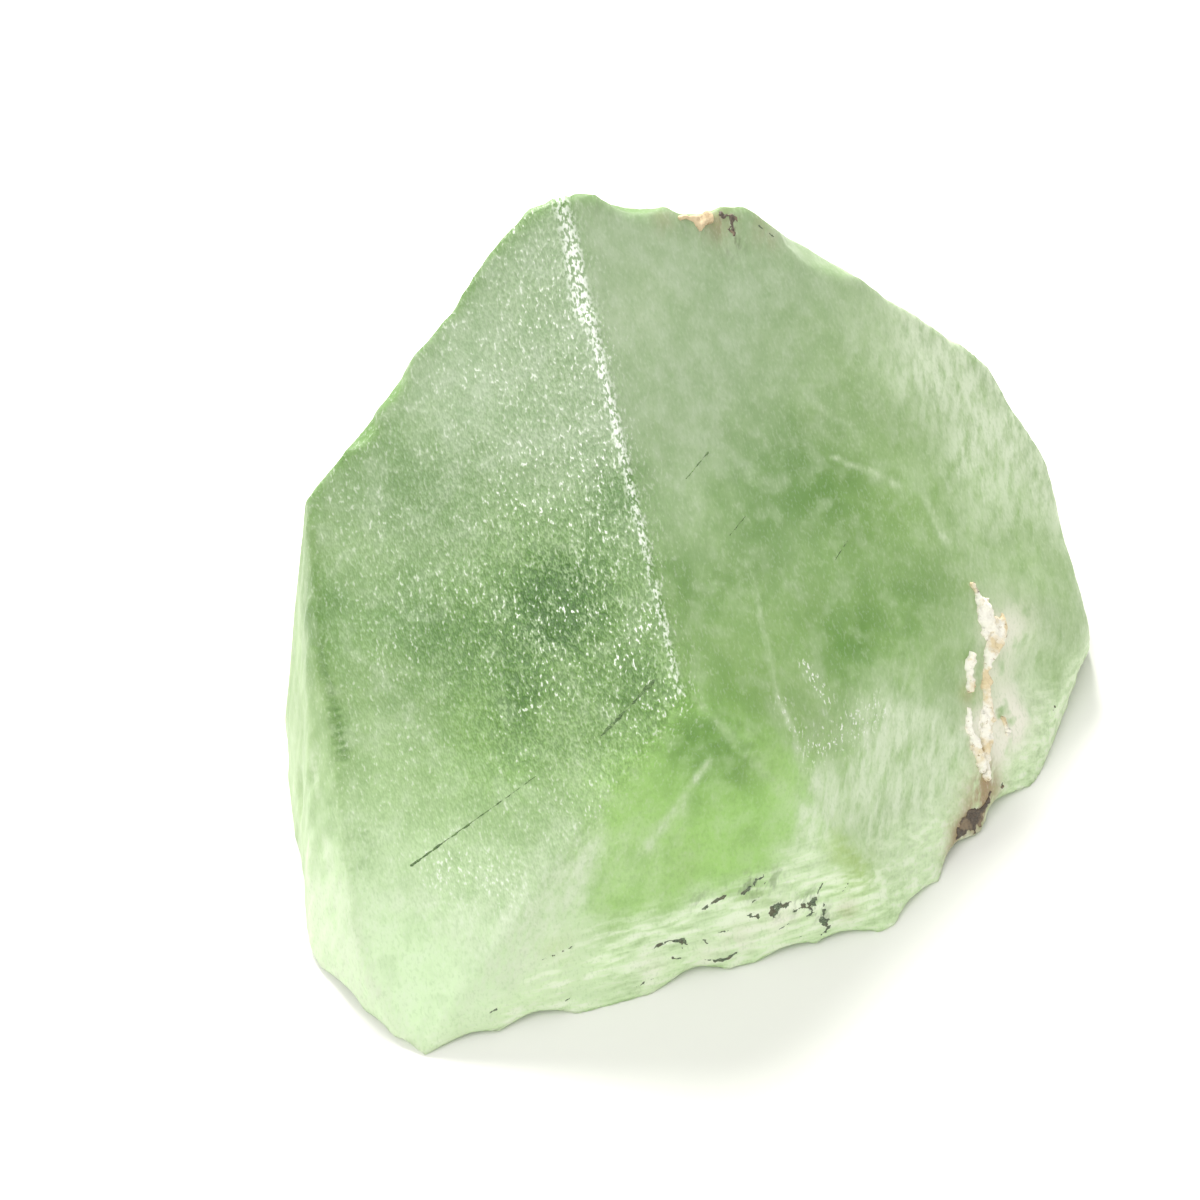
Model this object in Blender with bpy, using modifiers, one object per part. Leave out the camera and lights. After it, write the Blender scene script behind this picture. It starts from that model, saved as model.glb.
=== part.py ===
"""Peridot crystal with ludwigite needles, standing on its broken base. Lengths are in millimetres."""

import math
import random

import bmesh
import bpy
from mathutils import Matrix, Vector

MM = 0.001

# Crystal faces as a crystallographer's table: azimuth and slope of the outward normal in degrees,
# where slope 0 looks straight up, and the distance of the face from the origin.
FACES = {
    "left": (250.3, 43.5, 14.21),
    "right": (322.2, 43.2, 11.63),
    "window": (288.3, 64.4, 11.89),
    "cloudy": (319.9, 56.4, 11.34),
    "side_front": (212.2, 64.9, 18.84),
    "corner_bevel": (224.1, 66.2, 19.38),
    "far_right": (335.7, 48.1, 13.03),
    "right_foot": (337.4, 90.7, 15.32),
    "right_corner": (324.2, 56.9, 11.87),
    "back_left": (151.5, 64.0, 19.74),
    "back": (109.6, 76.0, 15.42),
    "back_right_top": (44.4, 47.5, 21.44),
    "back_right": (27.0, 68.0, 20.69),
    "right_end": (6.8, 76.0, 18.75),
    "side": (189.4, 81.6, 18.35),
    "side_back": (176.0, 81.8, 18.60),
    "back_foot": (95.0, 84.0, 16.19),
    "base": (0.0, 180.0, 0.0),
}
STOCK = 120.0
LARGE_BALL = 3.5
CENTRE = (2.0, 0.0, 6.0)

# Conchoidal chips: a point on the surface, the azimuth and slope the chip looks, its radius and depth.
CHIPS = {
    "crest_near_apex": ((-2.9, 9.6, 23.6), 66, 29, 3.2, 0.85),
    "crest_middle": ((-0.3, 10.9, 22.3), 66, 29, 2.4, 0.75),
    "crest_right": ((5.2, 11.6, 18.8), 5, 37, 5.5, 0.75),
    "shoulder_notch": ((-14.3, 2.3, 17.0), 192, 42, 1.9, 0.65),
    "shoulder_low": ((-13.1, 3.4, 18.2), 185, 40, 4.0, 0.25),
    "right_hollow": ((15.2, 0.5, 3.6), 325, 57, 5.0, 0.55),
    "right_edge_upper": ((17.0, 8.6, 6.6), 350, 60, 3.5, 0.35),
    "back_scar": ((-8.0, 12.2, 7.0), 110, 76, 12.0, 1.1),
    "back_scar_high": ((-3.0, 12.0, 16.0), 105, 70, 7.0, 0.6),
    "back_foot_scar": ((6.0, 16.3, 4.5), 95, 84, 7.0, 0.8),
    "back_right_scar": ((12.0, 14.5, 10.5), 50, 55, 6.0, 0.6),
    "right_end_scar": ((17.7, 9.0, 2.6), 8, 80, 4.5, 0.5),
    "left_side_chip": ((-17.4, -6.0, 3.0), 190, 82, 3.0, 0.3),
}

# Chips along the broken rim, spaced by a loop between these points on the base edge.
RIM = ((-11.0, -17.6), (8.5, -11.1), (15.4, -2.8))
RIM_CHIPS = 13
RIM_AZIMUTHS = (288.3, 319.9)
RIM_SLOPE = 82
RIM_RADIUS = (1.4, 3.0)
RIM_DEPTH = (0.14, 0.34)

# Hollows of the broken base: where they are, their radius and depth.
BASE_HOLLOWS = (
    (-9.5, -8.5, 20.0, 0.75),
    (7.5, -4.5, 16.0, 0.60),
    (9.5, 8.5, 22.0, 0.80),
    (-9.5, 5.0, 24.0, 0.70),
)

# The worn top of the main ridge: a narrow flat between the left and right faces that ends at a step.
RIDGE_STEP_POINT = (-4.7, 4.1, 21.8)
RIDGE_DIRECTION = (4.9, -16.3, -13.0)
APEX = (-5.9, 8.2, 25.0)
RIDGE_FLAT_DEPTH = 0.16

# Needles: their two ends on a crystal face, and that face.
NEEDLES = {
    "ludwigite_needle_1": ((-12.15, -11.75, 5.21), (-6.96, -9.80, 8.61), "left"),
    "ludwigite_needle_2": ((-4.28, -8.99, 10.19), (-2.03, -7.61, 12.14), "left"),
    "ludwigite_needle_3": ((-0.70, -0.13, 16.41), (0.25, 1.32, 16.54), "right"),
    "ludwigite_needle_4": ((1.16, -1.38, 14.31), (1.86, -0.32, 14.39), "right"),
    "ludwigite_needle_5": ((5.78, -0.14, 11.58), (6.39, 0.91, 11.74), "right"),
}
NEEDLE_RADIUS = 0.10
NEEDLE_DEPTH = 0.16
NEEDLE_STEP = 0.8
NEEDLE_BEND = 0.03
GROOVE_RADIUS = 0.27
GROOVE_END = 0.25

# The open crack beside the left edge.
CRACK = ((-16.45, -3.4, 11.3), (-15.25, -7.6, 7.9))
CRACK_RADIUS = 0.22

# Pieces of other minerals on the surface: points with the radius of the lump at each.
PATCHES = {
    "matrix_crust_side": (
        (12.30, 1.60, 7.75, 0.32),
        (12.65, 1.05, 7.00, 0.48),
        (13.15, 0.60, 6.10, 0.62),
        (12.90, -0.15, 5.60, 0.55),
        (12.75, -1.00, 4.90, 0.60),
        (12.70, -1.90, 4.10, 0.64),
        (12.75, -2.80, 3.15, 0.62),
        (12.85, -3.50, 2.30, 0.55),
        (12.80, -4.15, 1.60, 0.46),
        (11.95, -0.80, 6.10, 0.42),
        (12.05, -1.60, 5.10, 0.42),
        (12.20, -2.60, 3.95, 0.36),
    ),
    "matrix_crust_crest": (
        (-1.15, 9.75, 22.15, 0.40),
        (-0.65, 9.95, 21.95, 0.50),
        (-0.10, 10.20, 21.70, 0.42),
    ),
    "ludwigite_patch_side": (
        (12.70, -5.30, 1.10, 0.40),
        (12.35, -5.95, 0.95, 0.50),
        (11.95, -6.60, 0.75, 0.42),
    ),
    "ludwigite_patch_crest": (
        (1.00, 10.75, 21.45, 0.45),
        (1.40, 11.15, 21.15, 0.42),
    ),
    "ludwigite_grain_1": (
        (0.20, -13.50, 0.78, 0.30),
        (0.85, -13.30, 0.68, 0.38),
        (1.45, -13.05, 0.78, 0.28),
    ),
    "ludwigite_grain_2": (
        (-2.00, -13.60, 1.95, 0.22),
        (-1.40, -13.35, 2.07, 0.24),
        (-0.75, -13.27, 1.85, 0.32),
    ),
    "ludwigite_grain_3": (
        (3.20, -11.75, 2.15, 0.40),
        (3.65, -11.60, 2.15, 0.34),
    ),
    "ludwigite_grain_4": (
        (4.35, -11.60, 1.75, 0.34),
        (4.75, -11.35, 1.95, 0.36),
        (5.15, -11.10, 2.20, 0.28),
    ),
    "ludwigite_grain_5": (
        (5.40, -11.45, 1.22, 0.36),
        (5.55, -11.60, 0.78, 0.30),
    ),
    "ludwigite_grain_6": (
        (2.00, -12.00, 2.35, 0.26),
        (2.35, -11.95, 2.15, 0.26),
    ),
    "ludwigite_grain_7": (
        (1.90, -11.50, 3.45, 0.24),
        (2.40, -11.25, 3.65, 0.26),
    ),
    "ludwigite_grain_8": (
        (0.20, -12.20, 3.20, 0.20),
        (0.60, -12.05, 3.25, 0.22),
        (0.95, -11.90, 3.30, 0.20),
    ),
}
PATCH_GAP_SCALE = 1.004
PATCH_FLATTEN = 0.75
PATCH_VOXEL = 0.14
PATCH_VOXEL_LARGE = 0.24
LARGE_PATCH = 0.45
PATCH_LINK = 1.3

COLOURS = {
    "peridot": ((0.46, 0.66, 0.38), 0.35),
    "ludwigite": ((0.035, 0.055, 0.035), 0.45),
    "matrix": ((0.72, 0.62, 0.48), 0.85),
}


def outward(azimuth, slope):
    """Unit vector at this azimuth, tilted by the slope from straight up."""
    turn = math.radians(azimuth)
    tilt = math.radians(slope)
    return Vector((math.sin(tilt) * math.cos(turn), math.sin(tilt) * math.sin(turn), math.cos(tilt)))


def clear_scene():
    for thing in list(bpy.data.objects):
        bpy.data.objects.remove(thing, do_unlink=True)


def new_collection(name, hidden):
    group = bpy.data.collections.new(name)
    bpy.context.scene.collection.children.link(group)
    group.hide_render = hidden
    return group


def material(kind):
    """The Principled material of this kind, made once."""
    found = bpy.data.materials.get(kind)
    if found:
        return found
    colour, roughness = COLOURS[kind]
    made = bpy.data.materials.new(kind)
    made.use_nodes = True
    shader = made.node_tree.nodes["Principled BSDF"]
    shader.inputs["Base Color"].default_value = (*colour, 1.0)
    shader.inputs["Roughness"].default_value = roughness
    shader.inputs["Metallic"].default_value = 0.0
    return made


def add_object(name, data, group, kind=None):
    thing = bpy.data.objects.new(name, data)
    group.objects.link(thing)
    if kind:
        data.materials.append(material(kind))
    else:
        thing.hide_render = True
        thing.display_type = "WIRE"
    return thing


def mesh_from(shape, name):
    data = bpy.data.meshes.new(name)
    bmesh.ops.recalc_face_normals(shape, faces=shape.faces)
    shape.to_mesh(data)
    shape.free()
    return data


def cut_block(name, planes):
    """A cube of stock cut down by planes, each a normal and its distance from the origin."""
    shape = bmesh.new()
    bmesh.ops.create_cube(shape, size=STOCK * MM)
    for normal, distance in planes:
        everything = shape.verts[:] + shape.edges[:] + shape.faces[:]
        cut = bmesh.ops.bisect_plane(
            shape,
            geom=everything,
            dist=1e-7,
            plane_co=normal * distance * MM,
            plane_no=normal,
            clear_outer=True,
        )
        rim = [part for part in cut["geom_cut"] if isinstance(part, bmesh.types.BMEdge)]
        if rim:
            bmesh.ops.edgeloop_fill(shape, edges=rim)
    return mesh_from(shape, name)


def ball_cutter(name, group, centre, radius):
    """A ball, finer where it is large, so that a chip's floor stays round."""
    fineness = 4 if radius > LARGE_BALL else 3
    shape = bmesh.new()
    bmesh.ops.create_icosphere(
        shape,
        subdivisions=fineness,
        radius=radius * MM,
        matrix=Matrix.Translation(Vector(centre) * MM),
    )
    return add_object(name, mesh_from(shape, name), group)


def chip_cutter(name, group, point, look, radius, depth):
    """A ball whose surface dips by the depth under the point, looking out along look."""
    centre = Vector(point) + look * (radius - depth)
    return ball_cutter(name, group, centre, radius)


def rod_cutter(name, group, start, end, radius, sides):
    start = Vector(start)
    along = Vector(end) - start
    shape = bmesh.new()
    place = Matrix.Translation((start + along / 2) * MM) @ along.to_track_quat("Z", "Y").to_matrix().to_4x4()
    bmesh.ops.create_cone(
        shape,
        cap_ends=True,
        segments=sides,
        radius1=radius * MM,
        radius2=radius * MM,
        depth=along.length * MM,
        matrix=place,
    )
    return add_object(name, mesh_from(shape, name), group)


def rim_chip_cutters(group):
    """Small bites along the front of the broken rim, at seeded places."""
    chance = random.Random(7)
    corners = [Vector((*point, 0.0)) for point in RIM]
    for number in range(RIM_CHIPS):
        part = (number + 0.25 + 0.5 * chance.random()) / RIM_CHIPS * (len(corners) - 1)
        side = int(part)
        point = corners[side].lerp(corners[side + 1], part - side)
        look = outward(RIM_AZIMUTHS[side], RIM_SLOPE + chance.uniform(-14, 10))
        radius = chance.uniform(*RIM_RADIUS)
        depth = chance.uniform(*RIM_DEPTH)
        point.z = chance.uniform(0.1, 0.9)
        chip_cutter(f"rim_chip_{number + 1}", group, point, look, radius, depth)


def base_hollow_cutters(group):
    for number, (x, y, radius, depth) in enumerate(BASE_HOLLOWS, 1):
        ball_cutter(f"base_hollow_{number}", group, (x, y, depth - radius), radius)


def ridge_cutter(group):
    """The worn flat along the top of the main ridge, ended by a small step."""
    along = Vector(RIDGE_DIRECTION).normalized()
    flat = (outward(*FACES["left"][:2]) * 0.62 + outward(*FACES["right"][:2]) * 0.38).normalized()
    depth = flat.dot(Vector(APEX)) - RIDGE_FLAT_DEPTH
    planes = [(-flat, -depth), (along, along.dot(Vector(RIDGE_STEP_POINT)))]
    return add_object("ridge_flat", cut_block("ridge_flat", planes), group)


def needle_ends(start, end, face):
    """The needle's ends, sunk under the face by the needle's depth."""
    look = outward(*FACES[face][:2])
    return Vector(start) - look * NEEDLE_DEPTH, Vector(end) - look * NEEDLE_DEPTH


def groove_cutters(group):
    for name, (start, end, face) in NEEDLES.items():
        low, high = needle_ends(start, end, face)
        spare = (high - low).normalized() * GROOVE_END
        rod_cutter(f"groove_{name}", group, low - spare, high + spare, GROOVE_RADIUS, 10)


def add_boolean(thing, **settings):
    cut = thing.modifiers.new("cut", "BOOLEAN")
    cut.operation = "DIFFERENCE"
    cut.solver = "EXACT"
    for setting, value in settings.items():
        setattr(cut, setting, value)


def make_crystal(group, cutters):
    planes = [(outward(azimuth, slope), distance) for azimuth, slope, distance in FACES.values()]
    crystal = add_object("peridot_crystal", cut_block("peridot_crystal", planes), group, "peridot")
    for name, (point, azimuth, slope, radius, depth) in CHIPS.items():
        chip_cutter(name, cutters, point, outward(azimuth, slope), radius, depth)
    rim_chip_cutters(cutters)
    base_hollow_cutters(cutters)
    ridge_cutter(cutters)
    groove_cutters(cutters)
    rod_cutter("crack", cutters, *CRACK, CRACK_RADIUS, 6)
    add_boolean(crystal, operand_type="COLLECTION", collection=cutters)
    return crystal


def make_needle(name, group, start, end, face):
    """A thin rod with slight bends and a varying thickness, as a curve with a bevel."""
    chance = random.Random(name)
    low, high = needle_ends(start, end, face)
    steps = max(3, round((high - low).length / NEEDLE_STEP))
    line = bpy.data.curves.new(name, "CURVE")
    line.dimensions = "3D"
    line.bevel_depth = NEEDLE_RADIUS * MM
    line.bevel_resolution = 1
    line.use_fill_caps = True
    spline = line.splines.new("POLY")
    spline.points.add(steps)
    for number, point in enumerate(spline.points):
        place = low.lerp(high, number / steps)
        bend = Vector([chance.uniform(-NEEDLE_BEND, NEEDLE_BEND) for _ in range(3)])
        point.co = (*((place + bend) * MM), 1.0)
        point.radius = chance.uniform(0.75, 1.1)
    return add_object(name, line, group, "ludwigite")


def linked_lumps(lumps):
    """The lumps, with another between each two neighbours that are close enough to be one vein."""
    found = [Vector(lumps[0])]
    for lump in lumps[1:]:
        lump = Vector(lump)
        if (lump.xyz - found[-1].xyz).length < PATCH_LINK:
            found.append(found[-1].lerp(lump, 0.5))
        found.append(lump)
    return found


def make_patch(name, group, lumps, skin):
    """Flattened lumps fused by a voxel remesh, and cut back to the crystal's surface."""
    shape = bmesh.new()
    for x, y, z, radius in linked_lumps(lumps):
        place = Matrix.Translation(Vector((x, y, z)) * MM)
        flat = Matrix.Diagonal((1.0, PATCH_FLATTEN, 1.0, 1.0))
        bmesh.ops.create_icosphere(shape, subdivisions=3, radius=radius * MM, matrix=place @ flat)
    kind = "matrix" if name.startswith("matrix") else "ludwigite"
    patch = add_object(name, mesh_from(shape, name), group, kind)
    fuse = patch.modifiers.new("fuse", "REMESH")
    fuse.mode = "VOXEL"
    is_large = max(lump[3] for lump in lumps) > LARGE_PATCH
    fuse.voxel_size = (PATCH_VOXEL_LARGE if is_large else PATCH_VOXEL) * MM
    add_boolean(patch, object=skin)
    return patch


def surface_copy(crystal, group):
    """The finished crystal a little enlarged, as the cutter that leaves a gap under each patch."""
    graph = bpy.context.evaluated_depsgraph_get()
    data = bpy.data.meshes.new_from_object(crystal.evaluated_get(graph))
    grow = Matrix.Translation(Vector(CENTRE) * MM)
    grow = grow @ Matrix.Scale(PATCH_GAP_SCALE, 4) @ grow.inverted()
    data.transform(grow)
    return add_object("crystal_skin", data, group)


def main():
    clear_scene()
    specimen = new_collection("peridot_with_ludwigite", False)
    cutters = new_collection("crystal_cutters", True)
    skins = new_collection("patch_cutters", True)
    crystal = make_crystal(specimen, cutters)
    for name, (start, end, face) in NEEDLES.items():
        make_needle(name, specimen, start, end, face)
    skin = surface_copy(crystal, skins)
    for name, lumps in PATCHES.items():
        make_patch(name, specimen, lumps, skin)


main()
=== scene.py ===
# %% [markdown]
# A loose peridot crystal, frosted by etching, stands on its broken base. Dark ludwigite needles lie
# just under its faces, ludwigite grains sit in its whitish broken rim, and a tan crust of the rock
# that it grew in runs down its right side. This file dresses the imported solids: the crystal's
# worn surface and the crusts are worked out again as fine meshes, and each mineral gets its finish.
# Lengths are in millimetres until a mesh is made.

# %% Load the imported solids
import math
import random

import bpy
import numpy as np
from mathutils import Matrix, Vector


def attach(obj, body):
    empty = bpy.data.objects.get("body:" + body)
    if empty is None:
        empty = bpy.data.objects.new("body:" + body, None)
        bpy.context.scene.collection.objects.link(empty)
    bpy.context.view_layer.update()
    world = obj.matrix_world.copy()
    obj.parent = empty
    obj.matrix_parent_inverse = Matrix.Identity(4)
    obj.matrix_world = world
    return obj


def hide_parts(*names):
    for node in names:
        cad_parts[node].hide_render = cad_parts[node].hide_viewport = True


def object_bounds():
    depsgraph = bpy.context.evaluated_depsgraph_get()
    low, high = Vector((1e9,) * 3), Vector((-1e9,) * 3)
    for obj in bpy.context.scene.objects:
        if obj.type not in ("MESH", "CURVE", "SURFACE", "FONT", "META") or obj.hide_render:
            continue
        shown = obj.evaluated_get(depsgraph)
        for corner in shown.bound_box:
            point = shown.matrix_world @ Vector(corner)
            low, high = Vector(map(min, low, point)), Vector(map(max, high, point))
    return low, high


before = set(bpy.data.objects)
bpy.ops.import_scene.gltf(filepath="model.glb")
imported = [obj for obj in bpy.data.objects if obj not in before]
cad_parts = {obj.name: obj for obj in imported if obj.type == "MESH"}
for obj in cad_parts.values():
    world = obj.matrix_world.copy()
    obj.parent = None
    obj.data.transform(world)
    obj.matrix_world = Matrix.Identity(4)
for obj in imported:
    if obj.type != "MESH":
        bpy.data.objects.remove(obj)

MM = 0.001
CAD_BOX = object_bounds()
print("solids:", len(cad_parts))
print("box in mm:", [[round(place / MM, 2) for place in corner] for corner in CAD_BOX])

# %% [markdown]
# The crystal is a polyhedron, and a crystallographer describes it by its faces: which way each
# looks and how far it lies from the middle. The same table cut the solid, so the fine surface
# falls on it. Where the solid has a chip, a ball of the same radius bites here too. At the crest,
# the left notch and the rim it bites less deep, because the photo's outline runs fuller there.

# %% Faces and chips of the crystal
FACES = {  # azimuth and slope of the outward normal in degrees, distance from the origin
    "left": (250.3, 43.5, 14.21),
    "right": (322.2, 43.2, 11.63),
    "window": (288.3, 64.4, 11.89),
    "cloudy": (319.9, 56.4, 11.34),
    "side_front": (212.2, 64.9, 18.84),
    "corner_bevel": (224.1, 66.2, 19.38),
    "far_right": (335.7, 48.1, 13.03),
    "right_foot": (337.4, 90.7, 15.32),
    "right_corner": (324.2, 56.9, 11.87),
    "back_left": (151.5, 64.0, 19.74),
    "back": (109.6, 76.0, 15.42),
    "back_right_top": (44.4, 47.5, 21.44),
    "back_right": (27.0, 68.0, 20.69),
    "right_end": (6.8, 76.0, 18.75),
    "side": (189.4, 81.6, 18.35),
    "side_back": (176.0, 81.8, 18.60),
    "back_foot": (95.0, 84.0, 16.19),
    "base": (0.0, 180.0, 0.0),
}
CHIPS = (  # a point on the surface, the azimuth and slope the chip looks, its radius and depth
    ((-2.9, 9.6, 23.6), 66, 29, 3.2, 0.72),
    ((-0.3, 10.9, 22.3), 66, 29, 2.4, 0.58),
    ((5.2, 11.6, 18.8), 5, 37, 5.5, 0.40),
    ((-14.3, 2.3, 17.0), 192, 42, 1.9, 0.40),
    ((-13.1, 3.4, 18.2), 185, 40, 4.0, 0.25),
    ((15.2, 0.5, 3.6), 325, 57, 5.0, 0.55),
    ((17.0, 8.6, 6.6), 350, 60, 3.5, 0.35),
    ((-8.0, 12.2, 7.0), 110, 76, 12.0, 1.1),
    ((-3.0, 12.0, 16.0), 105, 70, 7.0, 0.6),
    ((6.0, 16.3, 4.5), 95, 84, 7.0, 0.8),
    ((12.0, 14.5, 10.5), 50, 55, 6.0, 0.6),
    ((17.7, 9.0, 2.6), 8, 80, 4.5, 0.5),
    ((-17.4, -6.0, 3.0), 190, 82, 3.0, 0.3),
)
RIM = ((-11.0, -17.6), (8.5, -11.1), (15.4, -2.8))
RIM_CHIPS = 13
RIM_AZIMUTHS = (288.3, 319.9)
RIM_SLOPE = 82
RIM_SLOPE_SPREAD = (-14, 10)
RIM_RADIUS = (1.4, 3.0)
RIM_DEPTH = (0.14, 0.34)
RIM_DEPTH_SHARE = 0.30
RIM_HEIGHT = (0.1, 0.9)
BASE_HOLLOWS = (  # x, y, radius and depth
    (-9.5, -8.5, 20.0, 0.75),
    (7.5, -4.5, 16.0, 0.60),
    (9.5, 8.5, 22.0, 0.80),
    (-9.5, 5.0, 24.0, 0.70),
)
RIDGE_STEP_POINT = (-4.7, 4.1, 21.8)
RIDGE_DIRECTION = (4.9, -16.3, -13.0)
APEX = (-5.9, 8.2, 25.0)
RIDGE_FLAT_DEPTH = 0.16
RIDGE_LEAN = 0.62
NEEDLES = (
    ((-12.15, -11.75, 5.21), (-6.96, -9.80, 8.61)),
    ((-4.28, -8.99, 10.19), (-2.03, -7.61, 12.14)),
    ((-0.70, -0.13, 16.41), (0.25, 1.32, 16.54)),
    ((1.16, -1.38, 14.31), (1.86, -0.32, 14.39)),
    ((5.78, -0.14, 11.58), (6.39, 0.91, 11.74)),
)
INSIDE = np.array((-0.5, -0.5, 7.5))


def unit(vector):
    """The vector divided by its length."""
    vector = np.asarray(vector, float)
    return vector / np.linalg.norm(vector, axis=-1, keepdims=True)


def outward(azimuth, slope):
    """Unit vector at this azimuth, tilted by the slope from straight up."""
    turn, tilt = np.radians(azimuth), np.radians(slope)
    return np.array((np.sin(tilt) * np.cos(turn), np.sin(tilt) * np.sin(turn), np.cos(tilt)))


NORMALS = np.array([outward(azimuth, slope) for azimuth, slope, _ in FACES.values()])
DISTANCES = np.array([distance for _, _, distance in FACES.values()])
FACE_ROW = {name: row for row, name in enumerate(FACES)}
print("faces:", len(FACES), "chips:", len(CHIPS))

# %% [markdown]
# Natural surfaces are irregular at several sizes at once. Smooth noise gives that: a random number
# sits at each corner of a lattice and the values between are blended. Adding finer and weaker
# copies gives layered noise. Broken mineral has small facets with creases between them, and the
# distance to scattered points gives those.


# %% Noise worked out on whole arrays
def lattice_value(cells, seed):
    """A random number from 0 to 1 for each whole-number lattice corner: its three numbers are
    multiplied by large odd numbers, mixed by shifts and exclusive-or, and scaled."""
    x, y, z = (cells[..., axis].astype(np.int64) & 0xFFFFFFFF for axis in range(3))
    mixed = (x * 73856093) ^ (y * 19349663) ^ (z * 83492791) ^ (seed * 2654435761)
    mixed = ((mixed & 0xFFFFFFFF) ^ ((mixed & 0xFFFFFFFF) >> 15)) * 2246822519 & 0xFFFFFFFF
    mixed = (mixed ^ (mixed >> 13)) * 3266489917 & 0xFFFFFFFF
    return ((mixed ^ (mixed >> 16)) & 0xFFFFFF) / float(0xFFFFFF)


def noise(points, size, seed=0):
    """Smooth noise from -1 to 1: the eight lattice corners round a point, blended by the smooth
    step 3t^2 - 2t^3 of its place between them. size is the lattice spacing."""
    spot = np.asarray(points) / size
    low = np.floor(spot)
    part = spot - low
    part = part * part * (3 - 2 * part)
    total = 0.0
    for corner in np.ndindex(2, 2, 2):
        weight = np.prod(np.where(corner, part, 1 - part), axis=-1)
        total = total + weight * lattice_value(low + corner, seed)
    return total * 2 - 1


def layered(points, size, layers=3, seed=0):
    """Smooth noise plus copies of half the size and half the height, divided by the sum of heights."""
    heights = 0.5 ** np.arange(layers)
    total = sum(height * noise(points, size * height, seed + 7 * n) for n, height in enumerate(heights))
    return total / heights.sum()


def cobbles(points, size, seed):
    """Small facets with creases between, from -0.5 to 0.7: the distance in lattice cells to the
    nearest of points scattered one to a cell, less a half."""
    spot = np.asarray(points) / size
    low = np.floor(spot)
    near = np.full(spot.shape[:-1], 1.2)
    for offset in np.ndindex(3, 3, 3):
        cell = low + np.array(offset) - 1
        jitter = np.stack([lattice_value(cell, seed + axis) for axis in range(3)], axis=-1)
        near = np.minimum(near, np.linalg.norm(cell + jitter - spot, axis=-1))
    return near - 0.5


def step(value, low, high):
    """0 below low, 1 above high, and a smooth step between."""
    part = np.clip((value - low) / (high - low), 0, 1)
    return part * part * (3 - 2 * part)


def bell(gap, width):
    """The bell curve of a distance: the exponential of minus its square over the width's square."""
    return np.exp(-((gap / width) ** 2))


def segment_distance(points, start, end):
    """Distance of each point from the straight line between two ends."""
    start, along = np.asarray(start), np.asarray(end) - np.asarray(start)
    part = np.clip((points - start) @ along / (along @ along), 0, 1)
    return np.linalg.norm(points - start - part[..., None] * along, axis=-1)


print("noise at four places:", np.round(noise(np.linspace((0.5, 0.5, 0.5), (3.5, 0.5, 0.5), 4), 1.0), 2))

# %% [markdown]
# The crystal's surface could be modelled by cutting a block and beveling its edges. Here it is a
# formula instead. The field is the largest of all the face distances, so it is 0 on the surface
# and negative inside. Taking that maximum softly rounds the worn edges, and a second maximum with
# each ball's depth carves the chips. A ray from inside is then followed to where the field is 0.

# %% The crystal as a formula
EDGE_ROUNDING = 0.05
CHIP_ROUNDING = 0.03
CRACK = ((-16.16, -4.13, 10.52), (-15.05, -7.92, 7.70))
CRACK_RADIUS = 0.12
CRACK_SHADE = 0.15
LEAST_COSINE = 1e-6
FAR_AWAY = 1e3


def rounded_max(values, rounding):
    """The largest value, with the crease between equal values rounded: the rounding times the
    logarithm of the sum of exponentials of value over rounding."""
    top = values.max(axis=0)
    return top + rounding * np.log(np.exp((values - top) / rounding).sum(axis=0))


def rim_chips():
    """The seeded bites along the front of the rim, in the same order of draws as in the solid."""
    chance = random.Random(7)
    corners = [Vector((*point, 0.0)) for point in RIM]
    for number in range(RIM_CHIPS):
        part = (number + 0.25 + 0.5 * chance.random()) / RIM_CHIPS * (len(corners) - 1)
        side = int(part)
        point = corners[side].lerp(corners[side + 1], part - side)
        slope = RIM_SLOPE + chance.uniform(*RIM_SLOPE_SPREAD)
        radius = chance.uniform(*RIM_RADIUS)
        depth = chance.uniform(*RIM_DEPTH) * RIM_DEPTH_SHARE
        point.z = chance.uniform(*RIM_HEIGHT)
        yield tuple(point), RIM_AZIMUTHS[side], slope, radius, depth


def chip_balls():
    """Centre and radius of each ball that bites a chip: radius less depth out from the point."""
    balls = [(np.array(point) + outward(azimuth, slope) * (radius - depth), radius)
             for point, azimuth, slope, radius, depth in (*CHIPS, *rim_chips())]
    return balls + [(np.array((x, y, depth - radius)), radius) for x, y, radius, depth in BASE_HOLLOWS]


BALLS = chip_balls()
RIDGE_ALONG = unit(RIDGE_DIRECTION)
RIDGE_FLAT = unit(RIDGE_LEAN * NORMALS[FACE_ROW["left"]] + (1 - RIDGE_LEAN) * NORMALS[FACE_ROW["right"]])


def plane_values(points):
    """How far outside each face's plane each point is."""
    return NORMALS @ points.T - DISTANCES[:, None]


def crystal_field(points):
    """Negative inside the crystal and 0 on its surface: the soft maximum of the planes, then of
    that with each ball's radius less the distance to its centre, the worn ridge and the crack."""
    body = rounded_max(plane_values(points), EDGE_ROUNDING)
    bites = [body] + [radius - np.linalg.norm(points - centre, axis=1) for centre, radius in BALLS]
    flat = points @ RIDGE_FLAT - RIDGE_FLAT @ np.array(APEX) + RIDGE_FLAT_DEPTH
    above_step = (np.array(RIDGE_STEP_POINT) - points) @ RIDGE_ALONG
    bites.append(np.minimum(flat, above_step))
    bites.append(CRACK_RADIUS - segment_distance(points, *CRACK))
    return rounded_max(np.array(bites), CHIP_ROUNDING)


def flat_hit(directions):
    """Where rays from inside first meet a face plane: the least positive distance over the cosine."""
    cosine = directions @ NORMALS.T
    reach = (DISTANCES - NORMALS @ INSIDE) / np.where(cosine > LEAST_COSINE, cosine, LEAST_COSINE)
    return np.where(cosine > LEAST_COSINE, reach, FAR_AWAY).min(axis=1)


print("balls:", len(BALLS), "field inside in mm:", np.round(crystal_field(INSIDE[None]), 2))

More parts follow.
